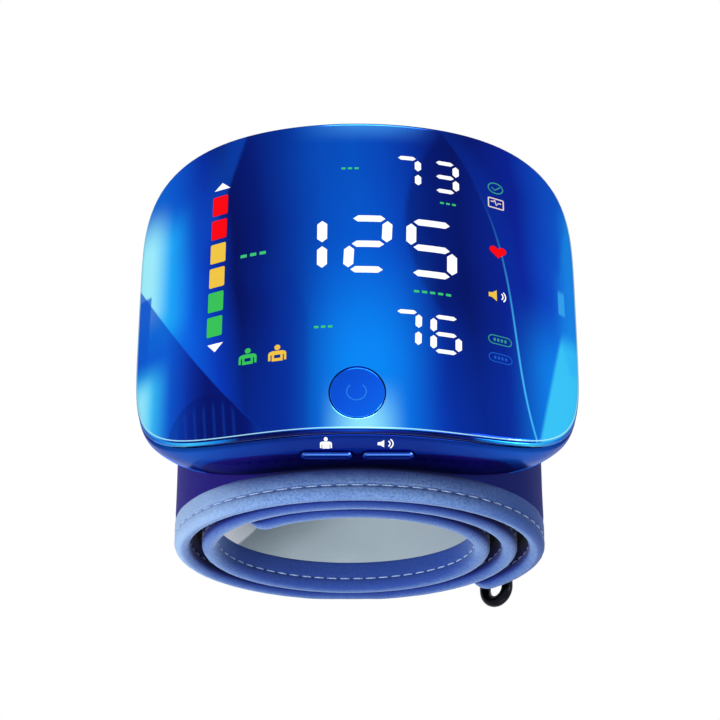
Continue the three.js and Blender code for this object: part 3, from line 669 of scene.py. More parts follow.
RING_STEPS = 360
RING_SECTION = [
    (1.3, 2.4), (0.2, 2.4), (0.06, 2.36), (0.0, 2.24), (0.0, 1.36), (0.04, 1.22), (0.14, 1.13), (0.3, 1.1),
    (1.3, 1.1),
]
ring_rows = [[on_arch(*outline(angle, inset), depth) for inset, depth in RING_SECTION]
             for angle in turns(RING_STEPS)]
trim_ring = piece("rim_ring", *loft(ring_rows, wrap=True, caps=False), rim_finish, sharp=50)
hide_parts("trim_ring")

# The lower case, a bowl whose wall follows the arch above and the cuff below.

CASE_STEPS = 360
FLOOR_SHARES = (0.94, 0.86, 0.76, 0.64, 0.5, 0.35, 0.2, 0.08)


def on_floor(spot, share, raised):
    x, y = (side * share for side in spot)
    return x, y, lower_edge_z(x) + raised


def case_shape():
    rows = []
    for angle in turns(CASE_STEPS):
        foot = outline(angle, WALL_TAPER + FOOT_INSET, FOOT_POWER)
        inner = outline(angle, WALL_TAPER + WALL_THICKNESS, FOOT_POWER)
        column = [on_floor(foot, share, 0) for share in (*FLOOR_SHARES[::-1], 1)]
        column += [wall_point(angle, *level) for level in WALL_LINE]
        column.append(on_arch(*outline(angle, WALL_THICKNESS), WALL_TOP))
        column.append(on_arch(*inner, WALL_TOP + INNER_DROP))
        column += [on_floor(inner, share, WALL_THICKNESS) for share in (1, *FLOOR_SHARES)]
        rows.append(column)
    places, faces = loft(rows, closed_rows=False, wrap=True, caps=False)
    count = len(rows[0])
    for end, raised in ((0, 0), (count - 1, WALL_THICKNESS)):
        pole = len(places)
        places.append(on_floor((0, 0), 0, raised))
        for index in range(CASE_STEPS):
            faces.append((pole, index * count + end, (index + 1) % CASE_STEPS * count + end))
    return places, faces


lower_case = piece("case_shell", *case_shape(), wall_finish)
key_hole = stadium(SIDE_LENGTH + GAP * 2, SIDE_HEIGHT + GAP * 2)
port_hole = stadium(PORT_WIDTH + GAP * 2, PORT_HEIGHT + GAP * 2)
slot_hole = [(b, a) for a, b in stadium(SLOT_TALL, SLOT_WIDTH, 6)]
openings = [prism(key_hole, -40, -24, x, SIDE_Z) for x in SIDE_XS]
openings.append(prism(port_hole, 24, 40, PORT_X, PORT_Z))
openings += [prism(slot_hole, 26, 40, SLOT_X + SLOT_PITCH * step, SLOT_Z) for step in range(-2, 3)]
openings += [rod(SCREW_RADIUS + GAP, 40, SCREW_Z + 1.6, x, y)
             for x in (-SCREW_X, SCREW_X) for y in (-SCREW_Y, SCREW_Y)]
cut_away(lower_case, openings)
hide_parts("lower_case")

# The three caps that press.

CAP_FLAT = 0.4
CAP_SKIRT = 2.2
CAP_EDGE = [(CAP_FLAT, 0.0), (0.2, 0.02), (0.09, 0.07), (0.02, 0.17), (0.0, 0.34), (0.0, CAP_SKIRT)]
cap_section = [(share * (START_RADIUS - CAP_FLAT), 0.0) for share in (0.12, 0.3, 0.5, 0.7, 0.86)]
cap_section += [(START_RADIUS - inset, depth) for inset, depth in CAP_EDGE] + [(3.0, CAP_SKIRT)]
cap_rows = [[on_arch(radius * math.cos(angle), START_Y + radius * math.sin(angle), PANEL_TOP + depth)
             for angle in turns(128)] for radius, depth in cap_section]
start_button = piece("start_button_cap", *loft(cap_rows), start_paint(), "start_cap")
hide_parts("start_button")

SIDE_LEVELS = [(0.0, 3.4), (0.0, 0.42), (0.05, 0.22), (0.16, 0.08), (0.34, 0.0), (0.7, 0.02), (1.0, 0.05)]


def side_cap(x):
    rows = []
    for inset, depth in SIDE_LEVELS:
        section = stadium(SIDE_LENGTH - inset * 2, SIDE_HEIGHT - inset * 2, 14)
        rows.append([(x + a, SIDE_FACE_Y + depth, SIDE_Z + b) for a, b in section])
    return loft(rows)


side_finish = key_paint()
for x, name in zip(SIDE_XS, ("user", "voice")):
    cap = piece(f"{name}_button_cap", *side_cap(x), side_finish, f"{name}_cap")
    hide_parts(f"{name}_button")


# Lit figures and signs, thin shapes that follow the surface that they lie on. The printed signs on the start
# button and the front wall are made to glow too.

LIT_RAISE = 0.045
LIT_SINK = 0.03


def light(name, tone, strength):
    """A lit shape. Its edge glows a little less than its middle, as behind a mask."""
    paint = Finish(name, Roughness=0.4, Specular_IOR_Level=0.0, Emission_Strength=strength)
    shade = colour(*tone)
    glow = paint.mix(paint.times(paint.noise(700, 2), 0.1), shade, dimmed(shade, 0.7))
    return paint.use(Base_Color=paint.mix(0.97, glow, (0, 0, 0, 1)), Emission_Color=glow)


def on_panel(x, y, raised):
    return on_arch(x, y, PANEL_TOP - raised)


def on_start(x, y, raised):
    return on_panel(x, START_Y + y, raised)


def on_front(x, z, raised):
    return x, wall_front_y(x, z) - raised, z


def filled(points, spacing=0.9):
    """A flat shape with an even net of faces, from its outline."""
    shape = bmesh.new()
    corners = [shape.verts.new((x, y, 0)) for x, y in points]
    for a, b, c in geometry.tessellate_polygon([[Vector((x, y, 0)) for x, y in points]]):
        shape.faces.new((corners[a], corners[b], corners[c]))
    for _ in range(5):
        long = [edge for edge in shape.edges if edge.calc_length() > spacing]
        if not long:
            break
        bmesh.ops.subdivide_edges(shape, edges=long, cuts=1, use_grid_fill=False)
        bmesh.ops.triangulate(shape, faces=[face for face in shape.faces if len(face.verts) > 3])
    shape.verts.index_update()
    flat = [tuple(vert.co.xy) for vert in shape.verts]
    faces = [tuple(vert.index for vert in face.verts) for face in shape.faces]
    shape.free()
    return flat, faces


def stroke(points, width, closed=False):
    """A flat line of this width through these points."""
    count = len(points)
    flat = []
    for index, (x, y) in enumerate(points):
        if closed:
            before, after = points[index - 1], points[(index + 1) % count]
        else:
            before, after = points[max(index - 1, 0)], points[min(index + 1, count - 1)]
        along = Vector((after[0] - before[0], after[1] - before[1])).normalized() * width / 2
        flat += [(x - along.y, y + along.x), (x + along.y, y - along.x)]
    faces = []
    for index in range(count if closed else count - 1):
        there = (index + 1) % count * 2
        faces.append((index * 2, index * 2 + 1, there + 1, there))
    return flat, faces


def arc(x, y, radius, start, end, steps=24, flatten=1.0):
    angles = [math.radians(start + (end - start) * step / steps) for step in range(steps + 1)]
    return [(x + radius * math.cos(angle), y + radius * flatten * math.sin(angle)) for angle in angles]


def rounded_box(x, y, width, height, radius):
    points = []
    for right, up, start in ((1, 1, 0), (-1, 1, 90), (-1, -1, 180), (1, -1, 270)):
        corner_x = x + right * (width / 2 - radius)
        points += arc(corner_x, y + up * (height / 2 - radius), radius, start, start + 90, 2)
    return points


def placed(outline_shares, x, y, size):
    """A small filled sign from an outline in shares of its size."""
    return filled([(x + a * size, y + b * size) for a, b in outline_shares], 0.6)


def lit(name, shapes, finish, surface=on_panel, body="monitor"):
    """One thin closed piece from several flat shapes."""
    places, faces = [], []
    for flat, flat_faces in shapes:
        start = len(places)
        count = len(flat)
        for raised in (LIT_RAISE, -LIT_SINK):
            places += [surface(x, y, raised) for x, y in flat]
        edges = {}
        for face in flat_faces:
            faces.append(tuple(start + index for index in face))
            faces.append(tuple(start + count + index for index in reversed(face)))
            for a, b in zip(face, face[1:] + face[:1]):
                if (b, a) in edges:
                    del edges[(b, a)]
                else:
                    edges[(a, b)] = True
        for a, b in edges:
            faces.append((start + b, start + a, start + count + a, start + count + b))
    return piece(name, places, faces, finish, body, sharp=20)


SEGMENTS = {"1": "bc", "2": "abged", "3": "abgcd", "5": "afgcd", "6": "afgedc", "7": "abc"}


def bar(x, y, length, thickness, point, upright=False):
    """A bar with pointed ends about a place, lying or upright."""
    half, thick = length / 2, thickness / 2
    corners = [(-half, 0), (point - half, thick), (half - point, thick), (half, 0), (half - point, -thick),
               (point - half, -thick)]
    return [(x + b, y - a) if upright else (x + a, y + b) for a, b in corners]


def digit(number, x, y, width, height, upright, flat, slant=0.0):
    """A figure in seven pointed segments, from its lower left corner."""
    gap = 0.6 + upright * 0.15
    long = width - upright - gap
    tall = height / 2 - flat / 2 - gap
    point = min(flat * 0.675, long / 3)
    shapes = {}
    for name, middle in (("a", height - flat / 2), ("g", height / 2), ("d", flat / 2)):
        shapes[name] = bar(width / 2, middle, long, flat, point)
    sides = (("bc", width - upright / 2), ("fe", upright / 2))
    for names, side in sides:
        for name, middle in zip(names, (height * 0.75 - flat / 4, height / 4 + flat / 4)):
            shapes[name] = bar(side, middle, tall, upright, upright * 0.4, True)
    return [filled([(x + a + slant * b, y + b) for a, b in shapes[name]]) for name in SEGMENTS[number]]


white_light = light("white_light", (255, 255, 255), 1.1)
red_light = light("red_light", (255, 12, 22), 0.95)
yellow_light = light("yellow_light", (250, 205, 73), 0.9)
green_light = light("green_light", (62, 206, 95), 0.85)
mint_light = light("mint_light", (70, 222, 132), 0.75)
teal_light = light("teal_light", (70, 190, 176), 0.6)
blue_light = light("blue_light", (30, 104, 232), 0.75)
start_light = light("start_light", (46, 136, 244), 0.85)
ivory_light = light("ivory_light", (246, 226, 216), 0.9)

LARGE = dict(height=12.1, upright=1.85, flat=1.3)
SMALL = dict(upright=1.18, flat=0.8)
figures = digit("1", -14.2, -0.55, 8.6, slant=0.0, **LARGE)
figures += digit("2", -2.7, -0.65, 8.7, slant=0.05, **LARGE)
figures += digit("5", 8.9, -0.8, 9.5, slant=0.02, **LARGE)
figures += digit("7", 6.7, 17.9, 5.3, 6.9, **SMALL) + digit("3", 13.9, 17.75, 5.3, 6.9, **SMALL)
figures += digit("7", 6.1, -15.8, 5.5, 7.8, slant=0.03, **SMALL)
figures += digit("6", 13.2, -16.2, 5.8, 7.8, slant=0.02, **SMALL)
lit("figures", figures, white_light)

BAR_X = -26.0
BAR_TOP = 17.4
BAR_PITCH = 5.15
bars = [filled(rounded_box(BAR_X - 0.08 * index, BAR_TOP - BAR_PITCH * index, 2.9, 4.1, 0.25))
        for index in range(6)]
lit("high_bars", bars[:2], red_light)
lit("middle_bars", bars[2:4], yellow_light)
lit("low_bars", bars[4:], green_light)
POINTERS = [[(-27.2, 20.85), (-24.2, 20.85), (-25.7, 22.3)], [(-27.6, -12.0), (-24.7, -12.0), (-26.2, -13.7)]]
lit("scale_pointers", [filled(corners) for corners in POINTERS], white_light)

# Outlines of the signs, in shares of their size.
BODY_SHARES = [(-0.46, -0.36), (-0.46, 0.02), (-0.40, 0.12), (-0.26, 0.17), (0.26, 0.17), (0.40, 0.12),
               (0.46, 0.02), (0.46, -0.36), (0.34, -0.36), (0.34, -0.05), (0.28, -0.05), (0.28, -0.40),
               (0.16, -0.40)]
CHEST_SHARES = [(0.16, -0.22), (0.16, -0.05), (-0.16, -0.05), (-0.16, -0.22)]
ARM_SHARES = [(-0.16, -0.40), (-0.28, -0.40), (-0.28, -0.05), (-0.34, -0.05), (-0.34, -0.36)]
BADGE_SHARES = [(-0.16, -0.40), (0.16, -0.40), (0.16, -0.24), (-0.16, -0.24)]
HORN_SHARES = [(-0.5, -0.17), (-0.5, 0.17), (-0.22, 0.2), (0.12, 0.46), (0.12, -0.46), (-0.22, -0.2)]


def person(x, y, size, badge=True):
    """A figure of a head and shoulders, with a square left open on its chest."""
    head = filled(arc(x, y + size * 0.36, size * 0.15, 0, 360, 20)[:-1], 0.6)
    if not badge:
        return [head, placed(BODY_SHARES + ARM_SHARES, x, y, size)]
    body = placed(BODY_SHARES + CHEST_SHARES + ARM_SHARES, x, y, size)
    return [head, body, placed(BADGE_SHARES, x, y, size)]


def waves(x, y, size):
    return [stroke(arc(x, y, size * radius, -48, 48, 10), 0.22) for radius in (0.42, 0.68)]


def heart(x, y, wide, tall):
    points = []
    for t in turns(40):
        along = 13 * math.cos(t) - 5 * math.cos(2 * t) - 2 * math.cos(3 * t) - math.cos(4 * t)
        points.append((x + wide * 16 * math.sin(t) ** 3, y + tall * along))
    return filled(points, 0.6)


def memory_pill(x, y):
    shapes = [stroke([(x + a, y + b) for a, b in stadium(4.35, 1.7, 8)], 0.18, True)]
    return shapes + [filled(rounded_box(x - 1.02 + index * 0.68, y, 0.42, 0.62, 0.12)) for index in range(4)]


lit("first_user_sign", person(-19.95, -16.2, 3.6), green_light)
lit("second_user_sign", person(-14.5, -16.4, 3.6), yellow_light)
lit("pulse_sign", [heart(26.4, 7.45, 0.102, 0.088)], red_light)
lit("voice_sign", [placed(HORN_SHARES, 25.6, -2.05, 2.5)], yellow_light)
lit("voice_waves", waves(26.3, -2.0, 1.9), white_light)
tick = stroke([(25.55, 21.35), (26.15, 20.85), (27.2, 21.75)], 0.22)
lit("check_sign", [stroke(arc(26.3, 21.3, 1.42, 0, 360, 40, 0.78)[:-1], 0.22, True), tick], teal_light)
TRACE = [(25.3, 18.25), (25.8, 18.25), (26.05, 18.65), (26.4, 17.5), (26.75, 18.1), (27.3, 18.1)]
record = [stroke(rounded_box(26.3, 17.95, 2.9, 2.0, 0.15), 0.24, True), stroke(TRACE, 0.22)]
lit("record_sign", record, ivory_light)
lit("first_memory_sign", memory_pill(26.25, -11.3), teal_light)
lit("second_memory_sign", memory_pill(26.25, -15.0), blue_light)

# Rows of dashes where the units' words would be: place, length, height and count.
MARKS = [(-19.4, 5.1, 5.4, 1.5, 3), (-1.4, 21.7, 3.7, 0.95, 3), (17.0, 15.5, 3.4, 0.9, 3),
         (13.8, -4.0, 7.4, 1.15, 5), (-6.2, -11.7, 3.8, 1.15, 3)]
marks = []
for x, y, width, height, count in MARKS:
    pitch = width / count
    for index in range(count):
        middle = x + pitch * (index - (count - 1) / 2)
        marks.append(filled(rounded_box(middle, y, pitch * 0.66, height * 0.42, 0.1)))
lit("unit_marks", marks, mint_light)
# The start sign is a print on the button, made to glow.
start_arc = stroke(arc(-0.15, 0.1, 1.75, 130, 410, 30, 0.95), 0.2)
lit("start_sign", [start_arc], start_light, on_start, "start_cap")

# The printed signs above the front buttons, made to glow with the white light's emission.
KEY_SIGN_Z = CROWN_Z - 6.9
KEY_SIGNS = [
    ("user_key_sign", person(-5.65, KEY_SIGN_Z, 2.35, badge=False), 2.2),
    ("voice_key_sign", [placed(HORN_SHARES, 4.6, KEY_SIGN_Z, 1.9)], 1.75),
    ("voice_key_waves", waves(5.0, KEY_SIGN_Z, 2.1), 1.75),
]
for name, shapes, stretch in KEY_SIGNS:
    taller = []
    for flat, faces in shapes:
        taller.append(([(x, KEY_SIGN_Z + (z - KEY_SIGN_Z) * stretch) for x, z in flat], faces))
    lit(name, taller, white_light, on_front)

# The cuff: one padded band, wound inwards, with a binding along its edges.

STITCH_PITCH = 2.75
STITCH_LENGTH = 2.25
STITCH_THICKNESS = 0.32
STITCH_INSET = 2.5
STITCH_SINK = 0.16
ROWS_A_STITCH = 4
ROOT = BAND_WIDTH / 2 - HEM_WIDTH
STITCH_Y = BAND_WIDTH / 2 - STITCH_INSET
LAYER_STEP = 1.3
FINE_STEP = 0.25


def measured_band():
    """Lengths along the middle of the band, at even angles."""
    lengths, angles = [0.0], [BAND_START]
    last = band_point(BAND_START)
    while angles[-1] < BAND_END:
        angle = min(angles[-1] + FINE_STEP, BAND_END)
        here = band_point(angle)
        lengths.append(lengths[-1] + math.dist(last, here))
        angles.append(angle)
        last = here
    return lengths, angles


LENGTHS, ANGLES = measured_band()
BAND_LENGTH = LENGTHS[-1]


def length_at(angle):
    return LENGTHS[int((angle - BAND_START) / FINE_STEP)]


def on_band(length, y, outward):
    """The place at this length along the band, this far across it and out from its middle."""
    low, high = 0, len(LENGTHS) - 1
    while high - low > 1:
        middle = (low + high) // 2
        if LENGTHS[middle] <= length:
            low = middle
        else:
            high = middle
    share = (length - LENGTHS[low]) / (LENGTHS[high] - LENGTHS[low])
    x, z = band_point(ANGLES[low] + (ANGLES[high] - ANGLES[low]) * min(max(share, 0), 1), outward)
    return x, y, z


def ripple(length, y, scale, depth):
    """A soft unevenness that only goes inwards, so that the cloth keeps to its space."""
    return depth * (noise.noise(Vector((length * scale, y * scale, 3.1))) - 1) / 2


def on_cloth(length, y, outward):
    return length * MM, y * MM, outward * MM


def band_piece(name, lengths, section, finish, slot):
    """A closed piece of the band, from its section at each of these lengths."""
    rows, cloth = [], []
    for length in lengths:
        points = section(length)
        rows.append([on_band(length, y, outward) for y, outward in points])
        cloth += [on_cloth(length, y, outward) for y, outward in points]
    return cloth_piece(name, rows, cloth, finish, slot)


def cloth_piece(name, rows, cloth, finish, slot):
    made = piece(name, *loft(rows), finish, sharp=60, cloth=cloth)
    return made


def even(start, end, step):
    count = max(2, round((end - start) / step))
    return [start + (end - start) * index / count for index in range(count + 1)]


def rounded(left, corner):
    """How wide a round corner is at this distance from its end, as a share of its radius."""
    return 1 - (1 - min(left / corner, 1)) ** 2


SEAM = HEM_WIDTH - STITCH_INSET
HEM_FACE = [(0.0, 0.16), (0.25, 0.06), (0.7, 0.0), (1.8, 0.0), (SEAM - 0.7, 0.0), (SEAM - 0.36, 0.06),
            (SEAM - 0.16, 0.17), (SEAM, 0.2), (SEAM + 0.16, 0.17), (SEAM + 0.36, 0.06), (SEAM + 0.65, 0.0)]
RIM_TURNS = [math.pi / 2 - math.pi * step / 12 for step in range(1, 12)]


def mirrored(points):
    """A section's outer face and rim, with its inner face added."""
    return points + [(out, -outward) for out, outward in points[len(HEM_FACE) - 1::-1]]


def hem_section(side):
    """The binding's section at a length: two stitched faces and a rounded rim."""

    def section(length):
        width = HEM_WIDTH * math.sqrt(max(rounded(min(length, BAND_LENGTH - length), HEM_WIDTH), 0.0004))
        tall = HALF_BAND * min(1, math.sqrt(width / 2))
        phase = math.cos(2 * math.pi * length / STITCH_PITCH)
        points = []
        for out, sink in HEM_FACE:
            pulled = sink * (1 + 0.35 * phase if abs(out - SEAM) < 0.5 else 1)
            puff = ripple(length, out, 0.35, 0.1)
            points.append((out * width / HEM_WIDTH, (HALF_BAND - pulled + puff) * tall / HALF_BAND))
        reach = min(HALF_BAND, width * 0.4)
        for step, turn in enumerate(RIM_TURNS, 1):
            rim = ripple(length, step, 0.5, 0.08)
            points.append((width - reach + (reach + rim) * math.cos(turn), (tall + rim) * math.sin(turn)))
        return [(side * (ROOT + out), outward) for out, outward in mirrored(points)]

    return section


def hem_cloth():
    """Pale blue brushed binding, with painted shade as a dark seam line and as deeper blue in its folds, on
    faces turned upwards and on the outer turn's right, and painted light on the outer turn's left.
    """
    paint = Finish("hem_cloth", Sheen_Weight=0.15, Sheen_Roughness=0.4, Specular_IOR_Level=0.12)
    place = paint.add("Attribute", "Vector", attribute_name="cloth")
    nap = paint.noise(2400, 4, place, 0.7)
    blotch = paint.noise(150, 5, place)
    along, across, through = paint.axes(place)
    x = paint.axes(paint.place)[0]
    upward = paint.axes(paint.add("TexCoord", "Normal"))[2]
    first_turn = length_at(BAND_START + 365) * MM
    outer = paint.times(paint.between(through, -0.0004, 0.0006),
                        paint.between(along, first_turn + 0.004, first_turn - 0.004))
    seam = paint.between(paint.off(paint.off(across, 0), STITCH_Y * MM), 0.0004, 0.0001)
    tone = paint.mix(blotch, colour(88, 116, 164), colour(116, 146, 190))
    # Laid over the tone: the nap; painted light on the outer turn's left and painted shade on its right;
    # painted shade on faces turned upwards; painted shade in the seam's groove; painted shade in the folds,
    # by how closed in they are.
    for share, strength, shade in (
            (paint.between(nap, 0.35, 0.72), 1, (66, 95, 152)),
            (paint.times(outer, paint.between(x, -0.012, -0.036)), 0.6, (138, 162, 190)),
            (paint.times(outer, paint.between(x, 0.01, 0.036)), 0.9, (32, 64, 132)),
            (paint.times(paint.between(upward, -0.3, 0.75), paint.less(1.0, outer)), 0.9, (30, 54, 128)),
            (seam, 0.42, (30, 50, 112)),
            (paint.sheltered(7, 0.85, 0.35), 1, (14, 24, 96)),
            (paint.sheltered(3, 0.62, 0.2), 1, (3, 5, 30))):
        tone = paint.mix(paint.times(share, strength), tone, colour(*shade))
    rough = paint.line(blotch, 0.15, 0.72)
    return paint.use(Base_Color=tone, Roughness=rough, Normal=paint.bump(nap, 0.3, 0.05))


def knit(name, low, high, nap_scale, sheen, shelter=None, grain=0.6, right=None, left=None,
         shade_range=(0.45, 0.05)):
    """Brushed cloth: a short nap with soft patches, with painted shade where it is sheltered, and an optional
    tone towards the right and pale patch on the left.
    """
    paint = Finish(name, Sheen_Weight=sheen, Sheen_Roughness=0.5, Specular_IOR_Level=0.1)
    place = paint.add("Attribute", "Vector", attribute_name="cloth")
    nap = paint.noise(nap_scale, 4, place, 0.65)
    rows = paint.wave(nap_scale * 0.3, place, "X", 2.5, 2.0)
    tone = paint.mix(paint.noise(60, 4, place), colour(*low), colour(*high))
    tone = paint.mix(paint.between(nap, 0.4, 0.75, 0.0, grain), tone, dimmed(colour(*low), 0.72))
    x, y, _ = paint.axes(paint.place)
    # A tone towards the right side, painted shade on the lining.
    if right:
        tone = paint.mix(paint.between(x, -0.004, 0.028), tone, colour(*right))
    # A pale patch on the left behind a slanted edge, painted light on the lining.
    if left:
        slant = paint.between(paint.line(y, -0.7, x), -0.0018, -0.0024)
        tone = paint.mix(paint.times(slant, paint.between(x, -0.016, -0.019)), tone, colour(*left))
    # Painted shade where the cloth is closed in.
    if shelter:
        tone = paint.mix(paint.sheltered(9, *shade_range), tone, colour(*shelter))
    bump = paint.bump(paint.line(rows, 0.15, nap), 0.3, 0.06)
    return paint.use(Base_Color=tone, Roughness=paint.line(nap, 0.12, 0.78), Normal=bump)


def thread_finish():
    paint = Finish("thread", Sheen_Weight=0.3, Specular_IOR_Level=0.3)
    twist = paint.wave(900, paint.stretched(1, 1.4, 1), "DIAGONAL", 0.4)
    tone = paint.mix(twist, colour(104, 130, 178), colour(150, 174, 212))
    # Painted shade where the thread is closed in.
    tone = paint.mix(paint.sheltered(6, 0.7, 0.2), tone, colour(44, 60, 120))
    return paint.use(Base_Color=tone, Roughness=paint.line(twist, 0.1, 0.5))


hem_finish = hem_cloth()
# Cover and lining get painted shade where they are closed in; the lining also gets painted shade towards the
# right and a painted light patch on its left.
cover_finish = knit("cover_cloth", (22, 16, 92), (30, 24, 112), 2200, 0.04, (3, 3, 22), right=(9, 24, 100))
lining_finish = knit("lining_cloth", (152, 166, 174), (166, 180, 186), 1800, 0.1, (4, 5, 10), 0.12,
                     (130, 142, 152), (250, 252, 255), (0.5, 0.3))
stitch_finish = thread_finish()

HEM_ENDS = [0.0, 0.05, 0.15, 0.35]
HEM_BODY = 0.7
hem_lengths = HEM_ENDS + even(HEM_BODY, BAND_LENGTH - HEM_BODY, STITCH_PITCH / ROWS_A_STITCH)
hem_lengths += [BAND_LENGTH - length for length in reversed(HEM_ENDS)]
for side, name in ((-1, "front"), (1, "rear")):
    hem = band_piece(f"{name}_edge_binding", hem_lengths, hem_section(side), hem_finish, "hem")
    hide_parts(f"{name}_hem")


def end_binding(name, node, start, toward):
    """The binding across one end of the band, with its rounded rim at the end."""
    section = [(out, HALF_BAND - sink) for out, sink in HEM_FACE]
    section += [(HEM_WIDTH - HALF_BAND + HALF_BAND * math.cos(turn), HALF_BAND * math.sin(turn))
                for turn in RIM_TURNS]
    rows, cloth = [], []
    for y in even(-ROOT, ROOT, LAYER_STEP):
        row = []
        for out, outward in mirrored(section):
            soft = outward * (1 + ripple(y, out, 0.4, 0.06) / HALF_BAND)
            row.append(on_band(start + toward * out, y, soft))
            cloth.append(on_cloth(y, start + toward * out, outward))
        rows.append(row)
    made = cloth_piece(name, rows, cloth, hem_finish, "hem")
    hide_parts(node)


end_binding("outer_end_binding", "outer_end_hem", HEM_WIDTH, -1)
end_binding("inner_end_binding", "inner_end_hem", BAND_LENGTH - HEM_WIDTH, 1)

LAYER_HALF = ROOT + 0.05
LAYER_SINK = 0.12
SOFT_EDGE = 1.2
FACE_SINK = 0.05


def cloth_layer(inner, outer):
    """A soft layer of the band, whose faces sink a little between its edges."""

    def section(length):
        across = even(-LAYER_HALF, LAYER_HALF, 1.6)

        def sunk(y, lane):
            edge = min(1, (LAYER_HALF - abs(y)) / SOFT_EDGE)
            return ripple(length, y + lane, 0.13, LAYER_SINK) * edge - LAYER_SINK * (1 - edge)

        points = [(y, outer + sunk(y, 0)) for y in across]
        return points + [(y, inner - sunk(y, 50)) for y in reversed(across)]

    return section


layer_lengths = even(HEM_WIDTH - 0.1, BAND_LENGTH - HEM_WIDTH + 0.1, LAYER_STEP)
cover = band_piece("cover", layer_lengths, cloth_layer(0.25, HALF_BAND - FACE_SINK), cover_finish, "cover")
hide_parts("cuff_cover", "cuff_stiffener")
inner_layer = cloth_layer(FACE_SINK - HALF_BAND, 0.15)
lining = band_piece("lining", layer_lengths, inner_layer, lining_finish, "lining")
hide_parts("cuff_lining", "cuff_bladder", "tail_padding")

# The stitches, each a short piece of thread that is pulled down at both ends.


def stitch(place):
    """One stitch as a closed bead of thread. place gives a point for a reach along, across and up."""
    rows = []
    for step in range(9):
        t = step / 8 * 2 - 1
        width = STITCH_THICKNESS / 2 * math.sqrt(max(1 - abs(t) ** 4, 0.01))
        sink = -STITCH_SINK * t * t
        rows.append([place(t * STITCH_LENGTH / 2, width * math.cos(a), sink + width * math.sin(a) * 0.8)
                     for a in turns(8)])
    return loft(rows)


def stitch_row(middles, on_row):
    """Stitches at these places of a row. on_row gives a point for a place along, across and up."""
    return [stitch(lambda reach, across, up: on_row(middle + reach, across, up)) for middle in middles]


def stitch_piece(name, rows):
    beads = [bead for row in rows for bead in row]
    made = piece(name, *joined(beads), stitch_finish, sharp=60)


def edge_row(side, face):
    """Stitches along one edge of the band, on its outer or inner face."""

    def on_row(along, across, up):
        return on_band(along, side * STITCH_Y + across, face * (HALF_BAND - STITCH_SINK + up))

    count = int((BAND_LENGTH - STITCH_INSET * 2) / STITCH_PITCH)
    return stitch_row([(index + 1.5) * STITCH_PITCH for index in range(count)], on_row)


def cross_row(length, width, height, face=1):
    """Stitches across the band at this length, on its outer or inner face."""

    def on_row(along, across, up):
        return on_band(length + across, along, face * (height + up))

    count = int(width / STITCH_PITCH)
    return stitch_row([(index - (count - 1) / 2) * STITCH_PITCH for index in range(count)], on_row)


for side, name in ((-1, "front"), (1, "rear")):
    stitch_piece(f"{name}_edge_stitches", [edge_row(side, face) for face in (1, -1)])
stitch_piece("end_stitches", [
    cross_row(length, ROOT * 2, HALF_BAND - STITCH_SINK, face)
    for length in (STITCH_INSET, BAND_LENGTH - STITCH_INSET) for face in (1, -1)])

# The hook patch on the inner end, and the fabric tab that holds the ring.

PATCH_START, PATCH_FINISH = length_at(786), length_at(850)
PATCH_HALF = 27
PATCH_THICKNESS = 0.4
PATCH_CORNER = 5
SEAT = 0.04


def patch_section(length):
    """The patch's section at a length, narrower at its round corners."""
    left = min(length - PATCH_START, PATCH_FINISH - length)
    half = PATCH_HALF - PATCH_CORNER * (1 - math.sqrt(max(rounded(left, PATCH_CORNER), 0)))
    low = HALF_BAND + SEAT / 2
    high = low + PATCH_THICKNESS + GAP - SEAT
    across = [half * (step / 18 - 1) for step in range(37)]
    top = [(y, high - 0.12 * (abs(y) == half)) for y in across]
    return top + [(y, low) for y in reversed(across)]


hook_finish = knit("hook_cloth", (26, 28, 70), (40, 42, 96), 2600, 0.1)
PATCH_ENDS = (0.02, 0.3, 0.9, 2.0, 3.4)
patch_lengths = [PATCH_START + step for step in PATCH_ENDS]
patch_lengths += even(PATCH_START + PATCH_CORNER, PATCH_FINISH - PATCH_CORNER, LAYER_STEP)
patch_lengths += [PATCH_FINISH - step for step in reversed(PATCH_ENDS)]
patch = band_piece("hook_pad", patch_lengths, patch_section, hook_finish, "hem")
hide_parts("hook_patch")

TAB_HALF = 30
TAB_LENGTH = 9
TAB_SEAT = length_at(-43) + 2.6
TAB_TOP = HALF_BAND + GAP + FABRIC
TAB_SEAMS = (TAB_SEAT + 3.2, TAB_SEAT + TAB_LENGTH - 1.1)
LOOP_INNER = WIRE_RADIUS + GAP
LOOP_OUTER = LOOP_INNER + FABRIC


def tilted(across, y, up):
    """A place by the ring's hinge, across and up as the resting ring tilts."""
    return (HINGE_X + across * math.cos(RING_TILT) - up * math.sin(RING_TILT), y,
            HINGE_Z + across * math.sin(RING_TILT) + up * math.cos(RING_TILT))


def tab_section(length):
    """The tab's section at a length, a little thinner along its edges."""
    across = even(-TAB_HALF, TAB_HALF, 1.5)
    top = [(y, TAB_TOP - SEAT - 0.2 * (abs(y) > TAB_HALF - 0.4) + ripple(length, y, 0.4, 0.08))
           for y in across]
    return top + [(y, HALF_BAND + SEAT) for y in reversed(across)]


def sleeve_shape():
    """The folded end of the tab, a sleeve of cloth round the ring's bar."""
    angles = [math.radians(20 + 320 * step / 40) for step in range(41)]
    section = [(LOOP_OUTER, angle) for angle in angles] + [(LOOP_INNER, angle) for angle in reversed(angles)]
    rows, cloth = [], []
    for y in even(-TAB_HALF, TAB_HALF, 1.5):
        soft = 0.06 * noise.noise(Vector((y * 0.3, 0, 9)))
        row = []
        for radius, angle in section:
            reach = radius + (soft if radius == LOOP_INNER else min(soft, 0))
            row.append(tilted(reach * math.cos(angle), y, reach * math.sin(angle)))
            cloth.append(on_cloth(angle * radius, y, 0.4))
        rows.append(row)
    return rows, cloth


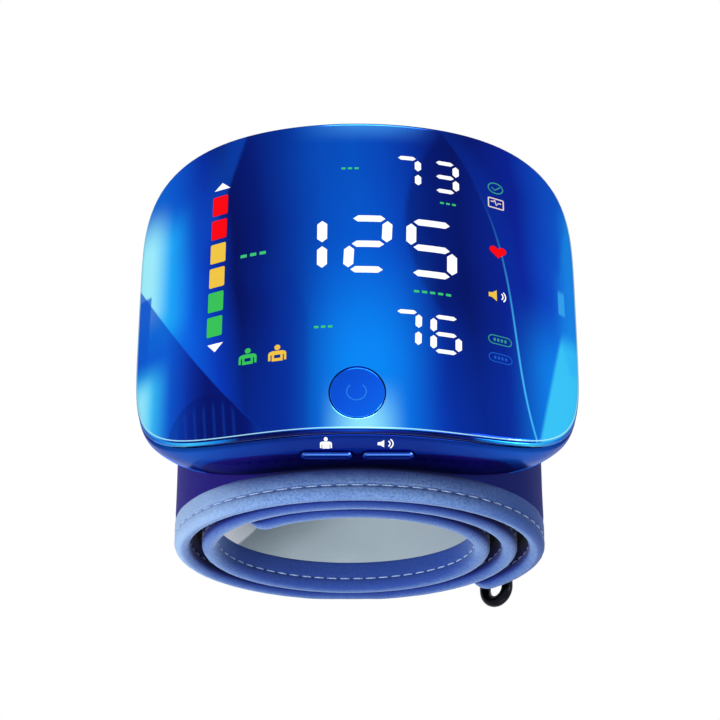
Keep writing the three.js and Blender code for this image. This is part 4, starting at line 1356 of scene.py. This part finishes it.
tab_finish = knit("tab_webbing", (24, 26, 84), (38, 42, 116), 2200, 0.1)
strap = band_piece("tab_strap", even(TAB_SEAT, TAB_SEAT + TAB_LENGTH, 0.9), tab_section, tab_finish, "cover")
sleeve = cloth_piece("tab_sleeve", *sleeve_shape(), tab_finish, "cover")
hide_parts("ring_tab")
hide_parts("ring_tab")
stitch_piece("tab_stitches", [cross_row(length, TAB_HALF * 2 - 3, TAB_TOP - 0.1) for length in TAB_SEAMS])

# The oblong ring, a bent wire that turns in the sleeve.

STRAIGHT_HALF = RING_HALF_LENGTH - WIRE_RADIUS - RING_REACH


def ring_shape():
    route = []
    for end in (-1, 1):
        route += [(math.pi * (step / 24 + (1 if end < 0 else 0)), end * STRAIGHT_HALF) for step in range(25)]
        route += [(route[-1][0], -end * share * STRAIGHT_HALF) for share in even(-1, 1, 0.06)[1:-1]]
    rows = []
    for angle, y in route:
        row = []
        for a in turns(24):
            reach = RING_REACH + WIRE_RADIUS * math.cos(a)
            across = reach * math.cos(angle) - RING_REACH
            row.append(tilted(across, y + reach * math.sin(angle), WIRE_RADIUS * math.sin(a)))
        rows.append(row)
    return loft(rows, wrap=True, caps=False)


ring_finish = metal("ring_black", colour(26, 27, 32), 0.28)
wire_ring = piece("wire_ring", *ring_shape(), ring_finish, "cuff_ring", sharp=60)
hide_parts("d_ring")

# The finishes of the solid model's own pieces that stay.

guide = plastic("guide_resin", colour(214, 218, 222), 0.4)
board = plastic("board_green", colour(18, 78, 48), 0.4)
switch = plastic("switch_black", colour(22, 22, 26), 0.5)
cell = plastic("cell_wrap", colour(52, 92, 150), 0.35)
tube = plastic("tube_silicone", colour(190, 194, 200), 0.5)
node_finishes = {
    "display_frame": groove_finish, "light_guide": guide, "main_board": board, "battery_cell": cell,
    "start_switch": switch, "user_switch": switch, "voice_switch": switch, "pump_head": switch,
    "speaker": switch, "pressure_sensor": switch, "air_manifold": guide, "air_nozzle": guide,
    "pump_tube": tube, "valve_tube": tube,
}
for name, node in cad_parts.items():
    if not node.hide_render:
        node.data.materials.clear()
        node.data.materials.append(node_finishes.get(name, screw_finish))

# Floor, light and camera.


def white_where_seen(tree, output, glow_kind):
    """Shows plain white to the camera and in reflections, and the lit surface to all else."""
    surface = output.inputs["Surface"].links[0].from_socket
    path = tree.nodes.new("ShaderNodeLightPath")
    seen = path.outputs["Is Camera Ray"]
    for label in ("Is Glossy Ray", "Is Transmission Ray"):
        both = tree.nodes.new("ShaderNodeMath")
        both.operation = "MAXIMUM"
        tree.links.new(seen, both.inputs[0])
        tree.links.new(path.outputs[label], both.inputs[1])
        seen = both.outputs["Value"]
    glow = tree.nodes.new(glow_kind)
    glow.inputs["Color"].default_value = (1, 1, 1, 1)
    mix = tree.nodes.new("ShaderNodeMixShader")
    for socket, source in zip(mix.inputs, (seen, surface, glow.outputs[0])):
        tree.links.new(source, socket)
    tree.links.new(mix.outputs[0], output.inputs["Surface"])


FLOOR_HALF = 3000
FLOOR_Z = -0.05
floor_mesh = bpy.data.meshes.new("floor")
floor_corners = [(-1, -1), (1, -1), (1, 1), (-1, 1)]
floor_mesh.from_pydata([Vector((x * FLOOR_HALF, y * FLOOR_HALF, FLOOR_Z)) * MM for x, y in floor_corners],
                       [], [(0, 1, 2, 3)])
floor_material = bpy.data.materials.new("floor")
floor_material.use_nodes = True
floor_tree = floor_material.node_tree
floor_shader = floor_tree.nodes["Principled BSDF"]
floor_shader.inputs["Base Color"].default_value = (0.86, 0.86, 0.86, 1)
floor_shader.inputs["Roughness"].default_value = 0.8
white_where_seen(floor_tree, floor_tree.nodes["Material Output"], "ShaderNodeEmission")
floor_mesh.materials.append(floor_material)
floor = put("floor", floor_mesh)

world = bpy.data.worlds.new("studio")
bpy.context.scene.world = world
world.use_nodes = True
sky = world.node_tree.nodes["Background"]
sky.inputs["Color"].default_value = (0.94, 0.97, 1.0, 1)
sky.inputs["Strength"].default_value = 0.22
white_where_seen(world.node_tree, world.node_tree.nodes["World Output"], "ShaderNodeBackground")


LAMP_TARGET = (0, 0, 45)


def aim(thing, place, target):
    thing.location = Vector(place) * MM
    thing.rotation_euler = (Vector(target) - Vector(place)).to_track_quat("-Z", "Y").to_euler()


def area_lamp(name, place, size, power):
    data = bpy.data.lights.new(name, "AREA")
    data.shape = "RECTANGLE"
    data.size, data.size_y = (side * MM for side in size)
    data.energy = power
    lamp = put(name, data)
    aim(lamp, place, LAMP_TARGET)
    return lamp


key_lamp = area_lamp("key_lamp", (-300, -300, 330), (200, 200), 3.3)
key_lamp.visible_glossy = False
area_lamp("front_lamp", (60, -420, 90), (320, 120), 0.35)
area_lamp("side_lamp", (400, -100, 260), (160, 240), 0.8)
area_lamp("back_lamp", (60, 420, 380), (320, 160), 1.4)

CAMERA_PLACE = (0.48, -193.9, CROWN_Z + 349.8)
CAMERA_TARGET = (0.48, -18.65, CROWN_Z)
camera_data = bpy.data.cameras.new("camera")
camera_data.lens = 108.85
camera_data.sensor_width = 36
camera = put("camera", camera_data)
aim(camera, CAMERA_PLACE, CAMERA_TARGET)
bpy.context.scene.camera = camera
bpy.context.scene.view_settings.view_transform = "Standard"
